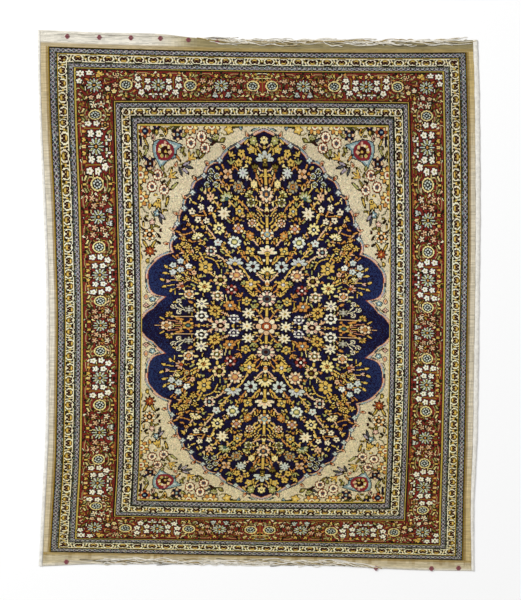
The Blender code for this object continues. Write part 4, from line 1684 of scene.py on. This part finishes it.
# Each fringe: the cloth's edge that it hangs from, which way is out, where its roots run from and
# to, the way it lies, how far in over the cloth and how far out it may wander, and its threads
FringePlan = namedtuple("FringePlan", "edge outward first last lean reach_in reach_out threads")
FRINGES = {
    "fringe_top": FringePlan("cloth_top", 1, -0.175, 0.500, 1, 0.0130, 0.0068, 105),
    "fringe_bottom": FringePlan("cloth_bottom", -1, -0.365, 0.340, -1, 0.014, 0.0035, 100),
}

# The threads' colours in turn, the points along each, and how far left and right they may lie
THREAD_COTTONS = ("whitened", "tan", "whitened", "white", "shadow", "whitened", "pale")
THREAD_POINTS = 22
FRINGE_LIMITS = (-0.590, 0.585)


def warp_ends(name, finish, seed):
    """Loose warp ends: each leaves the cloth's edge, then lies over sideways in soft waves."""
    plan = FRINGES[name]
    pick = np.random.default_rng(seed)
    threads, cottons = [], []
    for number in range(plan.threads):
        share = (number + pick.uniform(-0.4, 0.4)) / plan.threads
        root = plan.first + (plan.last - plan.first) * share
        length = pick.uniform(0.05, 0.15)
        rise = pick.uniform(-plan.reach_in, plan.reach_out)
        s = np.linspace(0, 1, THREAD_POINTS)
        x = np.clip(root + plan.lean * (length * s**1.25), *FRINGE_LIMITS)
        wave = pick.uniform(0.0012, 0.0036) * np.sin(s * pick.uniform(5, 15) + pick.uniform(0, 6))
        settle = 1 - (1 - s) ** pick.uniform(1.2, 4.0)
        out = 0.0006 + (rise * settle + wave * settle)
        y = end_line(plan.edge, x) + plan.outward * out
        over_cloth = ramp(0.0015 - out, 0.003)
        radius = pick.uniform(0.0008, 0.0013)
        z = radius + 0.0001 + (FLAT_HEIGHT + 0.0003) * over_cloth + pick.uniform(0, 0.0008) * settle
        threads.append(thread(np.stack((x, y, z), axis=1), radius))
        cottons.append(linear(COTTON[THREAD_COTTONS[number % len(THREAD_COTTONS)]]))
    return threads_piece(name + "_threads", threads, THREAD_POINTS, finish, cottons)


# Small plain lozenges woven into the ends, at these places in the photo
MARKS = ((67.5, 36.5), (99.5, 37.5), (131, 38), (160.5, 38.5), (188.5, 40), (217.5, 41.3),
         (66.5, 561.8), (376, 568), (431.5, 568.5), (458.5, 568))
MARK_WIDTH = 0.0145
MARK_ROWS = 7
MARK_ROW_STEP = 0.0019
MARK_THREAD = 0.0009
MARK_POINTS = 7


def woven_marks():
    """The lozenges, each of a few short threads side by side."""
    threads = []
    for mark_x, mark_y in MARKS:
        x = (mark_x - PHOTO_MIDDLE_X) * UNIT
        y = (PHOTO_MIDDLE_Y - mark_y) * UNIT
        for row in range(MARK_ROWS):
            off = row - (MARK_ROWS - 1) / 2
            half = MARK_WIDTH / 2 * (1 - abs(off) / MARK_ROWS * 1.4)
            places = np.linspace(x - half, x + half, MARK_POINTS)
            across = np.full(MARK_POINTS, y + off * MARK_ROW_STEP)
            z = flat_heights(places, across, np.sign(across)) + 0.0006
            threads.append(thread(np.stack((places, across, z), axis=1), MARK_THREAD))
    red = thread_material("red_thread", "93515a")
    return threads_piece("woven_marks", threads, MARK_POINTS, red)


def plain_material(name, colour, roughness):
    """One even colour."""
    made = bpy.data.materials.new(name)
    made.use_nodes = True
    shader = made.node_tree.nodes["Principled BSDF"]
    shader.inputs["Base Color"].default_value = (*colour, 1)
    shader.inputs["Roughness"].default_value = roughness
    return made


# The camera looks straight down on the photo's middle
CAMERA_HEIGHT = 5.0
VIEW_HEIGHT = PHOTO_HEIGHT * UNIT
SENSOR_HEIGHT = 24.0

# The lamps' names, places, sizes and powers, and the strength of the white sky
LAMPS = (("key", (-4.6, 3.8, 5.0), 2.4, 430), ("fill", (4.0, -3.0, 5.0), 4.0, 60))
SKY_STRENGTH = 0.52
FLOOR_SIZE = 14


def set_up_view():
    """The camera, the pale floor, the white sky and the lamps."""
    scene = bpy.context.scene
    camera_data = bpy.data.cameras.new("camera")
    camera_data.sensor_fit = "VERTICAL"
    camera_data.sensor_height = SENSOR_HEIGHT
    camera_data.lens = SENSOR_HEIGHT * CAMERA_HEIGHT / VIEW_HEIGHT
    camera = bpy.data.objects.new("camera", camera_data)
    camera.location = ((PHOTO_WIDTH / 2 - PHOTO_MIDDLE_X) * UNIT,
                       (PHOTO_MIDDLE_Y - PHOTO_HEIGHT / 2) * UNIT, CAMERA_HEIGHT)
    scene.collection.objects.link(camera)
    scene.camera = camera

    bpy.ops.mesh.primitive_plane_add(size=FLOOR_SIZE, location=(0, 0, 0))
    floor = bpy.context.object
    floor.name = "floor"
    floor.data.materials.append(plain_material("pale_floor", (0.97, 0.97, 0.97), 0.9))

    world = bpy.data.worlds.new("studio")
    world.use_nodes = True
    sky = world.node_tree.nodes["Background"]
    sky.inputs[0].default_value = (1.0, 1.0, 1.0, 1)
    sky.inputs[1].default_value = SKY_STRENGTH
    scene.world = world
    for name, place, size, power in LAMPS:
        light = bpy.data.lights.new(name, "AREA")
        light.size = size
        light.energy = power
        lamp = bpy.data.objects.new(name, light)
        lamp.location = place
        lamp.rotation_euler = (-Vector(place)).to_track_quat("-Z", "Y").to_euler()
        scene.collection.objects.link(lamp)
    scene.view_settings.view_transform = "Standard"


chart = whole_chart()
pile = pile_pieces(chart)
cloth = cloth_sheet()
back = cloth_back(chart)
cotton = thread_material("cotton_thread", "e9e6dd")
cord_left = edge_cord("edge_cord_left", "joint_left", "outer_left", cotton)
cord_right = edge_cord("edge_cord_right", "joint_right", "outer_right", cotton)
warp = thread_material("warp_thread")
threads_top = warp_ends("fringe_top", warp, 11)
threads_bottom = warp_ends("fringe_bottom", warp, 12)
marks = woven_marks()
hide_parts("rug_cloth")
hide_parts("selvage_left")
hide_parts("selvage_right")
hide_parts("fringe_top")
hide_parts("fringe_bottom")
set_up_view()
